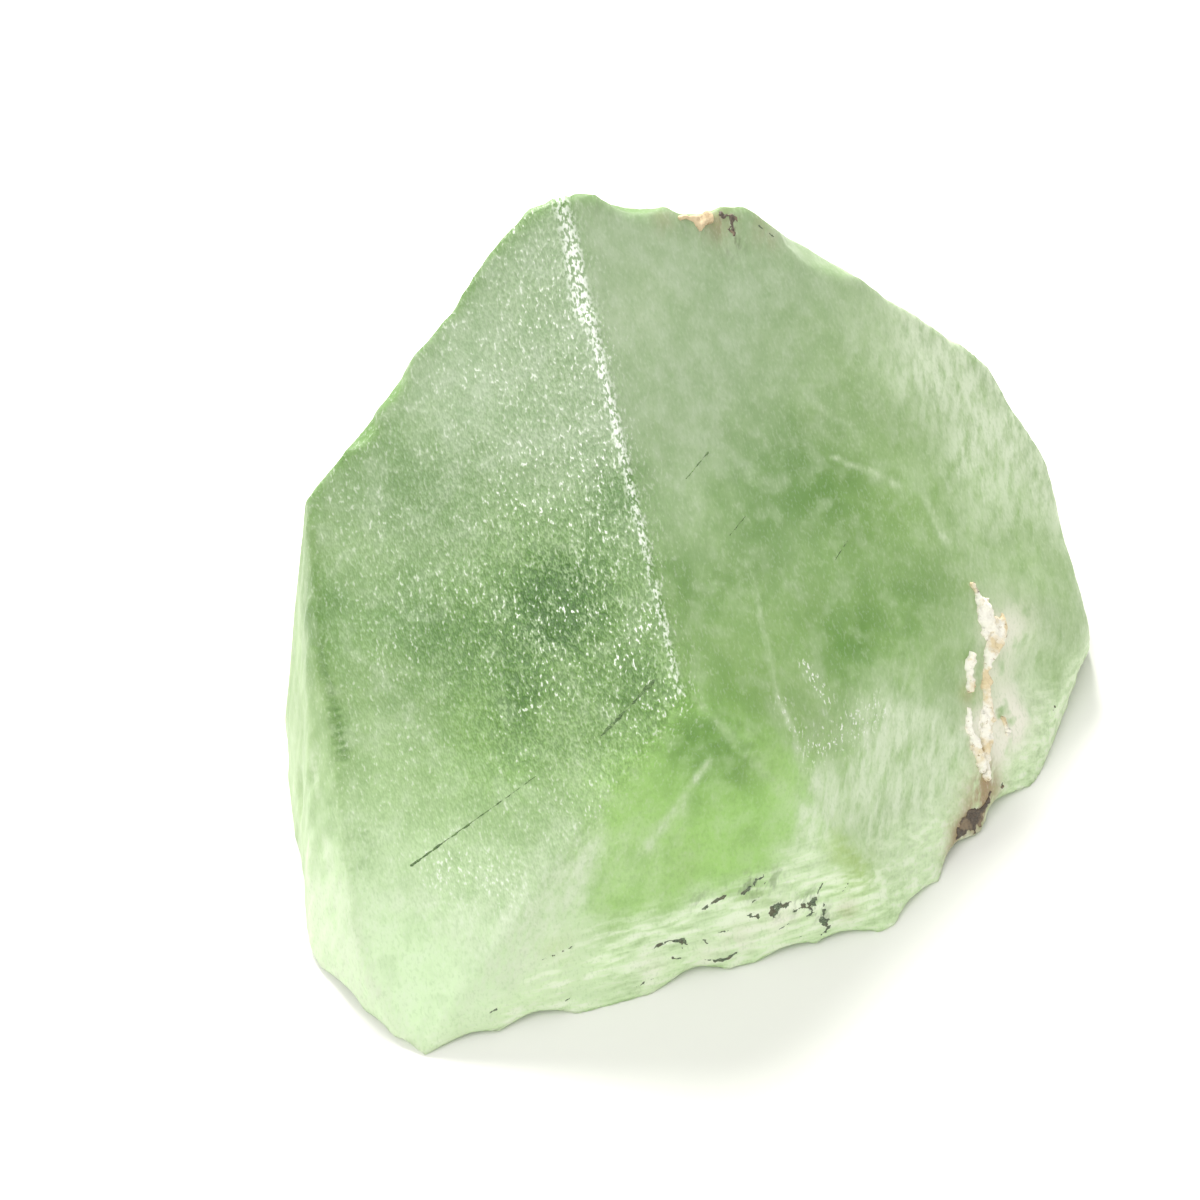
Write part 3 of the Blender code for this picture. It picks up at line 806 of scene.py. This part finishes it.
def mineral_skin(name, paths, cell, height, grain, raggedness, seed):
    """A closed ragged skin along paths. Its amount is 1 less the distance over the half width,
    plus noise. It is there where that is over 0, and rises with the amount's power of 0.6."""
    all_points, all_quads, start = [], [], 0
    for number, path in enumerate(paths):
        skin, gap = skin_strip(path, cell)
        normal = field_normal(skin)
        rough = layered(skin, grain, 3, seed=seed + number).reshape(gap.shape)
        amount = 1 - gap + 2 * raggedness * rough
        there = amount > 0
        cells = there[:-1, :-1] & there[1:, :-1] & there[:-1, 1:] & there[1:, 1:]
        inner = np.zeros_like(there)
        inner[1:-1, 1:-1] = cells[:-1, :-1] & cells[1:, :-1] & cells[:-1, 1:] & cells[1:, 1:]
        fine = layered(skin, grain * 0.4, 2, seed=seed + 30).reshape(gap.shape)
        rise = height * np.clip(amount, 0, 1.2) ** SKIN_RISE_POWER * (1 + 0.7 * fine)
        top = np.where(inner, rise, 0.0) - SKIN_EDGE
        bottom = np.where(inner, -SKIN_SINK, -SKIN_EDGE)
        index = np.arange(there.size).reshape(there.shape)
        below = np.where(inner, index + there.size, index).ravel()
        upper = np.stack([index[:-1, :-1][cells], index[1:, :-1][cells],
                          index[1:, 1:][cells], index[:-1, 1:][cells]], axis=1)
        all_quads.append(np.concatenate([upper, below[upper[:, ::-1]]]) + start)
        all_points += [skin + normal * top.reshape(-1, 1), skin + normal * bottom.reshape(-1, 1)]
        start += 2 * there.size
    quads = np.concatenate(all_quads)
    used, quads = np.unique(quads, return_inverse=True)
    quads = quads.reshape(-1, 4)
    points = np.concatenate(all_points)[used]
    print(name, len(quads), "quads")
    return add_mesh(name, points, quads)


def dress(piece, node, mineral):
    """The piece rides on the one body and stands for its solid. The mineral is not used."""
    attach(piece, "root")
    if node:
        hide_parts(node)
    return piece


# %% [markdown]
# The crust is thickest at its top wedge and runs down in two ribbons to the dark patch at its foot.
# Ludwigite grains and short veins lie along the rim. The needles are drawn the same way, as thin
# broken threads flush with the frosted face, which is how they look through its milky skin.

# %% Crusts, dark patches, grains and needles
SIDE_CRUST = (  # each path is a row of points: x, y, z and the half width there
    ((12.17, 1.94, 8.04, 0.10), (12.45, 1.45, 7.40, 0.32), (12.95, 1.10, 6.60, 0.62),
     (13.30, 0.90, 5.95, 0.78), (13.05, 0.30, 5.60, 0.42), (12.93, -0.30, 5.30, 0.26),
     (12.88, -1.22, 4.48, 0.28), (12.98, -1.93, 3.70, 0.40), (12.85, -2.70, 3.10, 0.42),
     (12.72, -3.40, 2.50, 0.34), (12.75, -4.00, 1.80, 0.20)),
    ((12.00, -0.50, 6.10, 0.16), (12.00, -0.95, 5.75, 0.40), (11.95, -1.50, 5.20, 0.30)),
    ((11.90, -2.30, 4.50, 0.10), (11.95, -2.80, 4.00, 0.28), (12.25, -3.30, 3.10, 0.32),
     (12.50, -3.80, 2.30, 0.24)),
    ((13.70, -1.65, 3.10, 0.12), (13.90, -1.95, 2.50, 0.18)),
)
SIDE_PATCH = (
    ((13.03, -4.35, 1.25, 0.10), (12.95, -4.70, 1.10, 0.20)),
    ((12.85, -5.00, 0.95, 0.18), (12.40, -5.60, 0.80, 0.38), (12.04, -6.12, 0.70, 0.42),
     (11.60, -6.70, 0.62, 0.20)),
    ((13.75, -3.75, 0.98, 0.08), (13.82, -3.90, 0.90, 0.11)),
)
CREST_CRUST = (((-0.85, 9.9, 22.2, 0.20), (-0.2, 10.3, 22.0, 0.32), (0.35, 10.7, 21.8, 0.18)),)
CREST_PATCH = (((0.9, 10.9, 21.5, 0.16), (1.3, 11.0, 21.2, 0.32), (1.5, 10.5, 20.9, 0.16)),)
GRAINS = (
    (((0.15, -13.4, 0.85, 0.06), (0.80, -13.33, 0.62, 0.17), (1.20, -13.2, 0.68, 0.12),
      (1.52, -13.0, 0.86, 0.06)),),
    (((-2.5, -13.7, 1.75, 0.05), (-1.9, -13.5, 1.95, 0.08), (-1.3, -13.34, 2.0, 0.07),
      (-0.75, -13.25, 1.82, 0.17)),),
    (((3.05, -11.75, 2.15, 0.22), (3.3, -11.65, 2.3, 0.20), (3.75, -11.5, 2.32, 0.08)),),
    (((4.0, -11.6, 2.0, 0.08), (4.5, -11.4, 2.1, 0.13), (4.95, -11.2, 2.2, 0.14), (4.6, -11.45, 1.8, 0.18)),
     ((5.0, -11.1, 2.3, 0.05), (5.25, -10.9, 2.7, 0.05))),
    (((5.25, -11.25, 1.9, 0.08), (5.2, -11.45, 1.3, 0.18), (5.4, -11.6, 0.95, 0.14)),
     ((5.55, -11.7, 0.75, 0.12), (5.2, -11.85, 0.55, 0.07))),
    (((1.95, -12.0, 2.35, 0.13), (2.35, -11.9, 2.25, 0.10)),),
    (((1.75, -11.6, 3.3, 0.10), (2.1, -11.4, 3.5, 0.10), (2.6, -11.1, 3.75, 0.09)),),
    (((0.0, -12.3, 3.1, 0.08), (0.5, -12.1, 3.2, 0.10), (1.1, -11.9, 3.4, 0.07)),),
)
NEEDLE_HALF_WIDTHS = ((0.075, 0.045), (0.10, 0.12), (0.040, 0.055), (0.055, 0.035), (0.050, 0.040))


def skin_table():
    """Rows of name, node replaced, slot, paths, cell, height, grain and raggedness."""
    yield "crust_side", "matrix_crust_side", "matrix", SIDE_CRUST, 0.055, 0.30, 0.55, 0.62
    yield "crust_crest", "matrix_crust_crest", "matrix", CREST_CRUST, 0.04, 0.22, 0.5, 0.50
    yield "patch_crest", "ludwigite_patch_crest", "ludwigite", CREST_PATCH, 0.035, 0.06, 0.3, 0.80
    yield "patch_side", "ludwigite_patch_side", "ludwigite", SIDE_PATCH, 0.04, 0.12, 0.30, 0.80
    for number, paths in enumerate(GRAINS, start=1):
        yield f"grain_{number}", f"ludwigite_grain_{number}", "ludwigite", paths, 0.026, 0.05, 0.15, 0.85
    for number, (ends, widths) in enumerate(zip(NEEDLES, NEEDLE_HALF_WIDTHS), start=1):
        path = tuple((*end, width) for end, width in zip(ends, widths))
        yield f"needle_{number}", f"ludwigite_needle_{number}", "ludwigite", (path,), 0.024, 0.036, 0.25, 0.40


skins = {}
for order, (name, node, mineral, *shape) in enumerate(skin_table()):
    piece = mineral_skin(name, *shape, seed=101 + 10 * order)
    skins[name] = dress(piece, node, mineral)

# %% [markdown]
# Crumbs of ludwigite smaller than about 0.4 mm lie scattered in the rim between the grains. Each is
# a few ragged dots on a short line, and together they are one piece, because none was worth a
# solid of its own.

# %% Crumbs in the rim
CRUMB_LINES = (  # the two ends of each short line of crumbs, and the half width
    ((0.66, -12.69, 1.94), (1.38, -12.48, 1.87), 0.055),
    ((0.10, -12.96, 1.74), (0.25, -12.9, 1.6), 0.07),
    ((2.10, -11.98, 2.75), (2.55, -11.75, 2.95), 0.04),
    ((2.55, -11.7, 3.2), (2.9, -11.5, 3.4), 0.03),
    ((-1.25, -13.75, 1.25), (-0.75, -13.55, 1.2), 0.06),
    ((-2.65, -14.46, 0.56), (-2.45, -14.4, 0.62), 0.07),
    ((-2.2, -14.3, 0.62), (-2.0, -14.2, 0.66), 0.04),
    ((-6.65, -14.7, 2.74), (-6.07, -14.49, 2.79), 0.05),
    ((-5.85, -14.4, 2.85), (-5.3, -14.2, 2.95), 0.04),
    ((-8.8, -16.18, 1.15), (-8.55, -16.1, 1.2), 0.07),
    ((-5.75, -15.42, 0.7), (-5.6, -15.38, 0.72), 0.04),
    ((3.3, -12.0, 1.4), (3.9, -11.9, 1.5), 0.035),
    ((4.1, -12.1, 0.8), (4.5, -12.0, 0.7), 0.04),
    ((6.2, -10.9, 2.1), (6.4, -10.7, 2.4), 0.05),
    ((13.7, -3.85, 0.95), (13.9, -3.6, 1.05), 0.07),
    ((16.25, 0.15, 1.6), (16.4, 0.35, 1.65), 0.06),
    ((2.6, 11.3, 20.5), (3.3, 11.4, 20.1), 0.06),
)
crumb_paths = [((*start, width), (*end, width)) for start, end, width in CRUMB_LINES]
crumbs = mineral_skin("ludwigite_crumbs", crumb_paths, 0.026, 0.04, 0.11, 0.9, seed=301)
skins["ludwigite_crumbs"] = dress(crumbs, None, "ludwigite")

# %% [markdown]
# Colours are given as the hex values a colour picker shows, and Blender mixes light in linear
# numbers, so one function turns the one into the other. One more function adds a node to a
# material with its settings and links, which keeps the recipes short.


# %% Helpers for finishes
def shade(code):
    """Linear red, green, blue and 1 from an sRGB hex code: the standard curve's power of 2.4."""
    parts = [int(code[place:place + 2], 16) / 255 for place in (1, 3, 5)]
    return (*[part / 12.92 if part <= 0.04045 else ((part + 0.055) / 1.055) ** 2.4 for part in parts], 1.0)


def add_node(tree, kind, inputs=None, output=0, **settings):
    """A node of this kind, its properties from settings, its sockets from inputs: a socket is
    linked and anything else becomes the socket's value. Returns the wanted output."""
    node = tree.nodes.new(kind)
    for setting, value in settings.items():
        setattr(node, setting, value)
    for socket, value in (inputs or {}).items():
        if isinstance(value, bpy.types.NodeSocket):
            tree.links.new(value, node.inputs[socket])
        else:
            node.inputs[socket].default_value = value
    return node.outputs[output] if node.outputs else None


def new_finish(name):
    """An empty material, and its node tree."""
    finish = bpy.data.materials.new(name)
    finish.use_nodes = True
    finish.node_tree.nodes.clear()
    return finish, finish.node_tree


print("middle grey in linear numbers:", round(shade("#808080")[0], 3))

# %% [markdown]
# Each finish is read as patterns: noise at the size of the real pattern in millimetres, drawn out
# along the way that the mineral grew or broke. Peridot's etched grains are 0.14 mm wide and 0.23 mm
# long along the ridge, its fibres are a third of a millimetre wide, its veils fall in streaks half
# a millimetre wide, and its cloudiness drifts at 4 and 1 mm. Ludwigite's fibres are 0.05 mm wide,
# and the crust is lumpy at 1.3 mm and crumbly at a quarter of a millimetre.

# %% Patterns
EAST = (1.0, 0.0, 0.0)
FALL_LINE = (-1.5, -5.0, -3.9)
PERIDOT_PATTERNS = {  # direction, width in mm, stretch along the direction, detail, roughness, distortion
    "grains": (RIDGE_DIRECTION, 0.135, 1.7, 1.0, 0.7, 0.0),
    "fibres": (RIM_ALONG, 0.34, 4.5, 2.0, 0.65, 0.0),
    "falls": (FALL_LINE, 0.50, 3.2, 3.0, 0.68, 0.0),
    "drift": (EAST, 4.0, 1.0, 2.0, 0.6, 0.0),
    "clumps": (EAST, 1.1, 1.0, 2.0, 0.62, 0.0),
}
LUDWIGITE_PATTERNS = {
    "silk": (RIM_ALONG, 0.05, 3.0, 3.0, 0.7, 0.0),
    "spots": (EAST, 0.45, 1.0, 2.0, 0.5, 0.0),
}
CRUST_PATTERNS = {
    "lumps": (EAST, 1.3, 1.0, 4.0, 0.6, 0.3),
    "crumbs": (EAST, 0.25, 1.0, 4.0, 0.7, 0.0),
}


def noise_patterns(tree, table):
    """A noise socket for each row. The place is turned so that X runs along the direction, then
    divided by the width, and along X by the width times the stretch."""
    place = add_node(tree, "ShaderNodeTexCoord", output="Object")
    patterns = {}
    for name, (direction, width, stretch, detail, roughness, distortion) in table.items():
        turn = Vector(direction).to_track_quat("X", "Z").to_euler()
        spot = add_node(tree, "ShaderNodeMapping", {
            "Vector": place, "Rotation": turn,
            "Scale": (width * stretch * MM, width * MM, width * MM)}, vector_type="TEXTURE")
        patterns[name] = add_node(tree, "ShaderNodeTexNoise", {
            "Vector": spot, "Scale": 1.0, "Detail": detail, "Roughness": roughness, "Distortion": distortion})
    return patterns


print("patterns:", *PERIDOT_PATTERNS, *LUDWIGITE_PATTERNS, *CRUST_PATTERNS)

# %% [markdown]
# A finish is built up as a painter glazes: a ground, then layers, each with its own colour,
# clearness and roughness. How much of a layer there is comes from a mask of the mesh times a
# pattern. The relief too fine for the mesh follows as bumps in the same way.

# %% Layers of a finish
MIX_SHARE, MIX_NUMBER, MIX_COLOUR = 0, 2, 6  # places of a Mix node's sockets


def layer_share(tree, amount, patterns, pattern, start, full):
    """The mask or number times how far the pattern has gone from start to full, held to 0 and 1."""
    if pattern is None:
        return amount
    return add_node(tree, "ShaderNodeMapRange", {
        "Value": patterns[pattern], "From Min": start, "From Max": full, "To Min": 0.0, "To Max": amount})


def layered_shader(tree, patterns, masks, ground, layers, bumps, refraction):
    """The one shader of a finish: ground colour, clearness and roughness mixed with each layer's in
    turn, where the layer has one, and the chained bumps."""
    colour, clearness, roughness = shade(ground[0]), ground[1], ground[2]
    for mask, pattern, start, full, code, layer_clearness, layer_roughness in layers:
        share = layer_share(tree, masks.get(mask, mask), patterns, pattern, start, full)
        colours = {MIX_SHARE: share, MIX_COLOUR: colour, MIX_COLOUR + 1: shade(code)}
        colour = add_node(tree, "ShaderNodeMix", colours, 2, data_type="RGBA")
        if layer_clearness is not None:
            numbers = {MIX_SHARE: share, MIX_NUMBER: clearness, MIX_NUMBER + 1: layer_clearness}
            clearness = add_node(tree, "ShaderNodeMix", numbers)
        if layer_roughness is not None:
            numbers = {MIX_SHARE: share, MIX_NUMBER: roughness, MIX_NUMBER + 1: layer_roughness}
            roughness = add_node(tree, "ShaderNodeMix", numbers)
    sockets = {
        "Base Color": colour, "Roughness": roughness, "Transmission Weight": clearness, "IOR": refraction}
    for mask, pattern, depth, strength in bumps:
        height = layer_share(tree, masks.get(mask, mask), patterns, pattern, 0.0, 1.0)
        bump = {"Height": height, "Distance": depth * MM, "Strength": strength}
        if "Normal" in sockets:
            bump["Normal"] = sockets["Normal"]
        sockets["Normal"] = add_node(tree, "ShaderNodeBump", bump)
    return add_node(tree, "ShaderNodeBsdfPrincipled", sockets)


# %% [markdown]
# Peridot is the gem form of olivine, clear and green, with a refractive index of about 1.67. This
# one is etched and full of veils, so light enters it, turns greener the further it goes, and
# comes out scattered. Plain transmission with absorption in the volume gives the depth of green,
# and the part that isn't transmitted is the milky surface. White flecks on the etched face and the
# bright worn ridge are painted highlights, the top is painted greyer as shade, and the foot paler
# as glow.

# %% Frosted peridot
PERIDOT_IOR = 1.67
PERIDOT_DEPTH_COLOUR = "#CEF076"
PERIDOT_DEPTH_DENSITY = 42.0
PERIDOT_GROUND = ("#92B867", 0.35, 0.42)
PERIDOT_LAYERS = (  # mask or amount, pattern, where it starts and is full, colour, clearness, roughness
    (1.0, "drift", 0.38, 0.62, "#A6C97F", None, None),
    # Painted glow, paler low on the front.
    ("low", None, 0, 1, "#E2FDCC", 0.24, None),
    # Painted shade, greyer on the upper part.
    ("high", None, 0, 1, "#B5CBA3", 0.30, None),
    ("vivid", None, 0, 1, "#BDEC86", 0.43, None),
    # Deeper green on the broken back, partly painted shade.
    ("back", None, 0, 1, "#6F9A48", None, 0.60),
    ("core", "clumps", 1.00, 0.42, "#549000", 0.50, None),
    (0.15, "clumps", 0.50, 0.65, "#F0F8E8", None, None),
    (0.18, "clumps", 0.50, 0.35, "#6FA04C", None, None),
    ("veil", "falls", 0.20, 0.60, "#DAE8C9", 0.17, None),
    # The whitish broken rim, made paler still as painted glow of light through the thin base.
    ("rim", "fibres", 0.15, 0.50, "#E4FACC", 0.27, 0.50),
    ("rim", "fibres", 0.50, 0.62, "#EFFBDE", 0.15, None),
    ("mossy", "fibres", 0.75, 0.40, "#BBD884", None, None),
    ("cream", "clumps", 0.28, 0.46, "#F0EEDF", 0.09, 0.60),
    ("smoke", "falls", 0.50, 0.62, "#6E7F5C", None, None),
    ("stain", "falls", 0.25, 0.50, "#A58B68", 0.09, None),
    # Painted light and shade of the grains: lighter on their tops and darker between them, darkest green in
    # the frost's hollows.
    (0.16, "grains", 0.54, 0.70, "#F0F8E8", None, None),
    (0.15, "grains", 0.46, 0.30, "#6FA04C", None, None),
    ("gaps", "grains", 0.56, 0.42, "#42780C", None, None),
    # Painted highlights: white glints on the etched grains, few over all the frost and many near the ridge.
    ("few_painted_glints", "grains", 0.65, 0.69, "#F8FDF2", 0.07, 0.25),
    ("many_painted_glints", "grains", 0.615, 0.66, "#FCFFF9", 0.05, 0.22),
    # Painted highlight along the worn ridge.
    ("ridge", "grains", 0.44, 0.55, "#F6FBF2", 0.05, 0.30),
)
PERIDOT_BUMPS = (("frost", "grains", 0.07, 0.8),)  # mask, pattern, depth in mm, strength


def frosted_peridot():
    """Etched and veined olivine, green in its depth and whitish at its broken rim."""
    finish, tree = new_finish("frosted_peridot")
    masks = {name: add_node(tree, "ShaderNodeAttribute", output="Fac", attribute_name=name)
             for name in crystal_masks}
    patterns = noise_patterns(tree, PERIDOT_PATTERNS)
    surface = layered_shader(
        tree, patterns, masks, PERIDOT_GROUND, PERIDOT_LAYERS, PERIDOT_BUMPS, PERIDOT_IOR)
    depth = add_node(tree, "ShaderNodeVolumeAbsorption", {
        "Color": shade(PERIDOT_DEPTH_COLOUR), "Density": PERIDOT_DEPTH_DENSITY})
    add_node(tree, "ShaderNodeOutputMaterial", {"Surface": surface, "Volume": depth})
    return finish


crystal.data.materials.append(frosted_peridot())
print("finish on", crystal.name, ":", len(crystal.data.materials[0].node_tree.nodes), "nodes")

# %% [markdown]
# Ludwigite is an iron magnesium borate, nearly black with a hint of green and a silky lustre. It
# grows as fibres, so its shine is broken into fine streaks, and it weathers brown in spots. The
# needles lie under a skin of frosted peridot, which turns them dark green, mottled and soft. The
# two patches are out in the air, so they have rusted to a dull brown. The crust is a rind of the
# rock that the crystal grew in: chalky, cream to tan, with brown hollows. Iron from the patch
# beside it has stained the little crust at the crest a deeper tan.

# %% Silky ludwigite and chalky crust
LUDWIGITE_IOR = 1.85
LUDWIGITE_GROUND = ("#30442A", 0.0, 0.50)  # fresh fibres: near-black green with silky streaks
LUDWIGITE_LAYERS = (
    (1.0, "silk", 0.42, 0.66, "#6C8258", 0.0, 0.40),
    (0.6, "spots", 0.52, 0.66, "#55482C", 0.0, 0.60),
)
LUDWIGITE_BUMPS = ((1.0, "silk", 0.03, 0.8),)
SUNKEN_GROUND = ("#36541F", 0.0, 0.50)  # fibres seen through peridot: dark green, broken by milk
SUNKEN_LAYERS = (
    (1.0, "silk", 0.42, 0.66, "#668A45", 0.0, 0.45),
    (0.7, "spots", 0.52, 0.66, "#94B672", 0.0, 0.50),
)
RUSTY_GROUND = ("#382C1E", 0.0, 0.60)  # weathered fibres: dark brown, dull, with ochre spots
RUSTY_LAYERS = (
    (1.0, "silk", 0.42, 0.66, "#665540", 0.0, 0.55),
    (0.8, "spots", 0.50, 0.64, "#8C7A60", 0.0, 0.75),
)
CRUST_IOR = 1.5
CRUST_GROUND = ("#E4D3AE", 0.0, 0.90)  # weathered rock: chalky cream, with no shine at all
CRUST_LAYERS = (
    (1.0, "lumps", 0.38, 0.52, "#F8F5EA", 0.0, 0.90),
    (0.8, "crumbs", 0.40, 0.28, "#A0875A", 0.0, 0.95),
)
TAN_GROUND = ("#BDA27E", 0.0, 0.90)  # the same rock stained by iron: tan, just as chalky
TAN_LAYERS = (
    (1.0, "lumps", 0.40, 0.54, "#DAC5A2", 0.0, 0.90),
    (0.8, "crumbs", 0.40, 0.28, "#8A6A42", 0.0, 0.95),
)
CRUST_BUMPS = ((1.0, "crumbs", 0.08, 0.9),)


def opaque_finish(name, table, ground, layers, bumps, refraction):
    """A finish with no depth: patterns, ground, layers and bumps alone."""
    finish, tree = new_finish(name)
    surface = layered_shader(tree, noise_patterns(tree, table), {}, ground, layers, bumps, refraction)
    add_node(tree, "ShaderNodeOutputMaterial", {"Surface": surface})
    return finish


ludwigite = opaque_finish(
    "silky_ludwigite", LUDWIGITE_PATTERNS, LUDWIGITE_GROUND, LUDWIGITE_LAYERS, LUDWIGITE_BUMPS, LUDWIGITE_IOR)
crust = opaque_finish("chalky_crust", CRUST_PATTERNS, CRUST_GROUND, CRUST_LAYERS, CRUST_BUMPS, CRUST_IOR)
sunken = opaque_finish(
    "ludwigite_under_peridot", LUDWIGITE_PATTERNS, SUNKEN_GROUND, SUNKEN_LAYERS, LUDWIGITE_BUMPS, PERIDOT_IOR)
rusty = opaque_finish(
    "rusty_ludwigite", LUDWIGITE_PATTERNS, RUSTY_GROUND, RUSTY_LAYERS, LUDWIGITE_BUMPS, LUDWIGITE_IOR)
tan_crust = opaque_finish(
    "iron_stained_crust", CRUST_PATTERNS, TAN_GROUND, TAN_LAYERS, CRUST_BUMPS, CRUST_IOR)
FINISH_OF = {"crust_side": crust, "crust_crest": tan_crust, "patch_side": rusty, "patch_crest": rusty}
for name, piece in skins.items():
    piece.data.materials.append(sunken if name.startswith("needle") else FINISH_OF.get(name, ludwigite))
print("finishes:", len(bpy.data.materials))

# %% [markdown]
# The crystal lies on a white sweep under broad soft light. A large lamp high at the back left gives
# the soft shadow towards the front and part of the glow in the base and the glints on the etched
# grains. The rest of that glow and those glints is painted into the peridot's finish.

# %% Floor and light
FLOOR_SIDE = 3.0
LAMPS = (  # name, place and side in mm, power in watts, colour
    ("key_lamp", (-80, 290, 250), 150, 2.6, "#FFFEFA"),
    ("front_lamp", (-120, -160, 300), 220, 0.50, "#FFFFFF"),
)
SKY_STRENGTH = 0.74
LAMP_AIM = Vector((0, 0, 8))


def make_floor():
    """A wide white sheet at height 0."""
    half = FLOOR_SIDE / 2 / MM
    corners = np.array(((-half, -half, 0), (half, -half, 0), (half, half, 0), (-half, half, 0)), float)
    floor = add_mesh("white_floor", corners, np.array(((0, 1, 2, 3),)))
    finish, tree = new_finish("matt_white_card")
    surface = add_node(tree, "ShaderNodeBsdfPrincipled", {"Base Color": shade("#EDEDE9"), "Roughness": 0.9})
    add_node(tree, "ShaderNodeOutputMaterial", {"Surface": surface})
    floor.data.materials.append(finish)


def make_lamp(name, place, side, power, colour):
    """A square soft lamp at a place in mm, turned to the crystal's middle."""
    data = bpy.data.lights.new(name, "AREA")
    data.size = side * MM
    data.energy = power
    data.color = shade(colour)[:3]
    lamp = bpy.data.objects.new(name, data)
    lamp.location = Vector(place) * MM
    lamp.rotation_euler = (LAMP_AIM - Vector(place)).to_track_quat("-Z", "Y").to_euler()
    bpy.context.scene.collection.objects.link(lamp)


def make_sky(strength):
    """Even white light from all round."""
    sky = bpy.data.worlds.new("white_tent")
    sky.use_nodes = True
    sky.node_tree.nodes["Background"].inputs["Color"].default_value = shade("#FDFDF8")
    sky.node_tree.nodes["Background"].inputs["Strength"].default_value = strength
    bpy.context.scene.world = sky


make_floor()
make_sky(SKY_STRENGTH)
for lamp_row in LAMPS:
    make_lamp(*lamp_row)

# %% [markdown]
# The photo looks down on the crystal at 46 degrees from about 125 mm away, close enough for strong
# perspective. The camera is placed from its aim, distance and elevation, and its lens from the
# 52 mm that the frame spans at the aim.

# %% Camera
CAMERA_AIM = (-4.28, -0.03, 9.0)
CAMERA_DISTANCE = 125.0
CAMERA_ELEVATION = 46.0
FRAME_WIDTH = 52.2
SENSOR = 36.0


def make_camera():
    """The camera on its back-and-up line from the aim, with the lens that gives the frame width."""
    data = bpy.data.cameras.new("photo_camera")
    data.sensor_width = SENSOR
    data.lens = SENSOR * CAMERA_DISTANCE / FRAME_WIDTH
    data.clip_start = 0.005
    data.clip_end = 10.0
    camera = bpy.data.objects.new("photo_camera", data)
    rise = math.radians(CAMERA_ELEVATION)
    back = Vector((0.0, -math.cos(rise), math.sin(rise)))
    camera.location = (Vector(CAMERA_AIM) + back * CAMERA_DISTANCE) * MM
    camera.rotation_euler = (-back).to_track_quat("-Z", "Y").to_euler()
    bpy.context.scene.collection.objects.link(camera)
    bpy.context.scene.camera = camera


make_camera()
bpy.context.scene.view_settings.view_transform = "Standard"
print("lens in mm:", round(bpy.context.scene.camera.data.lens, 1))
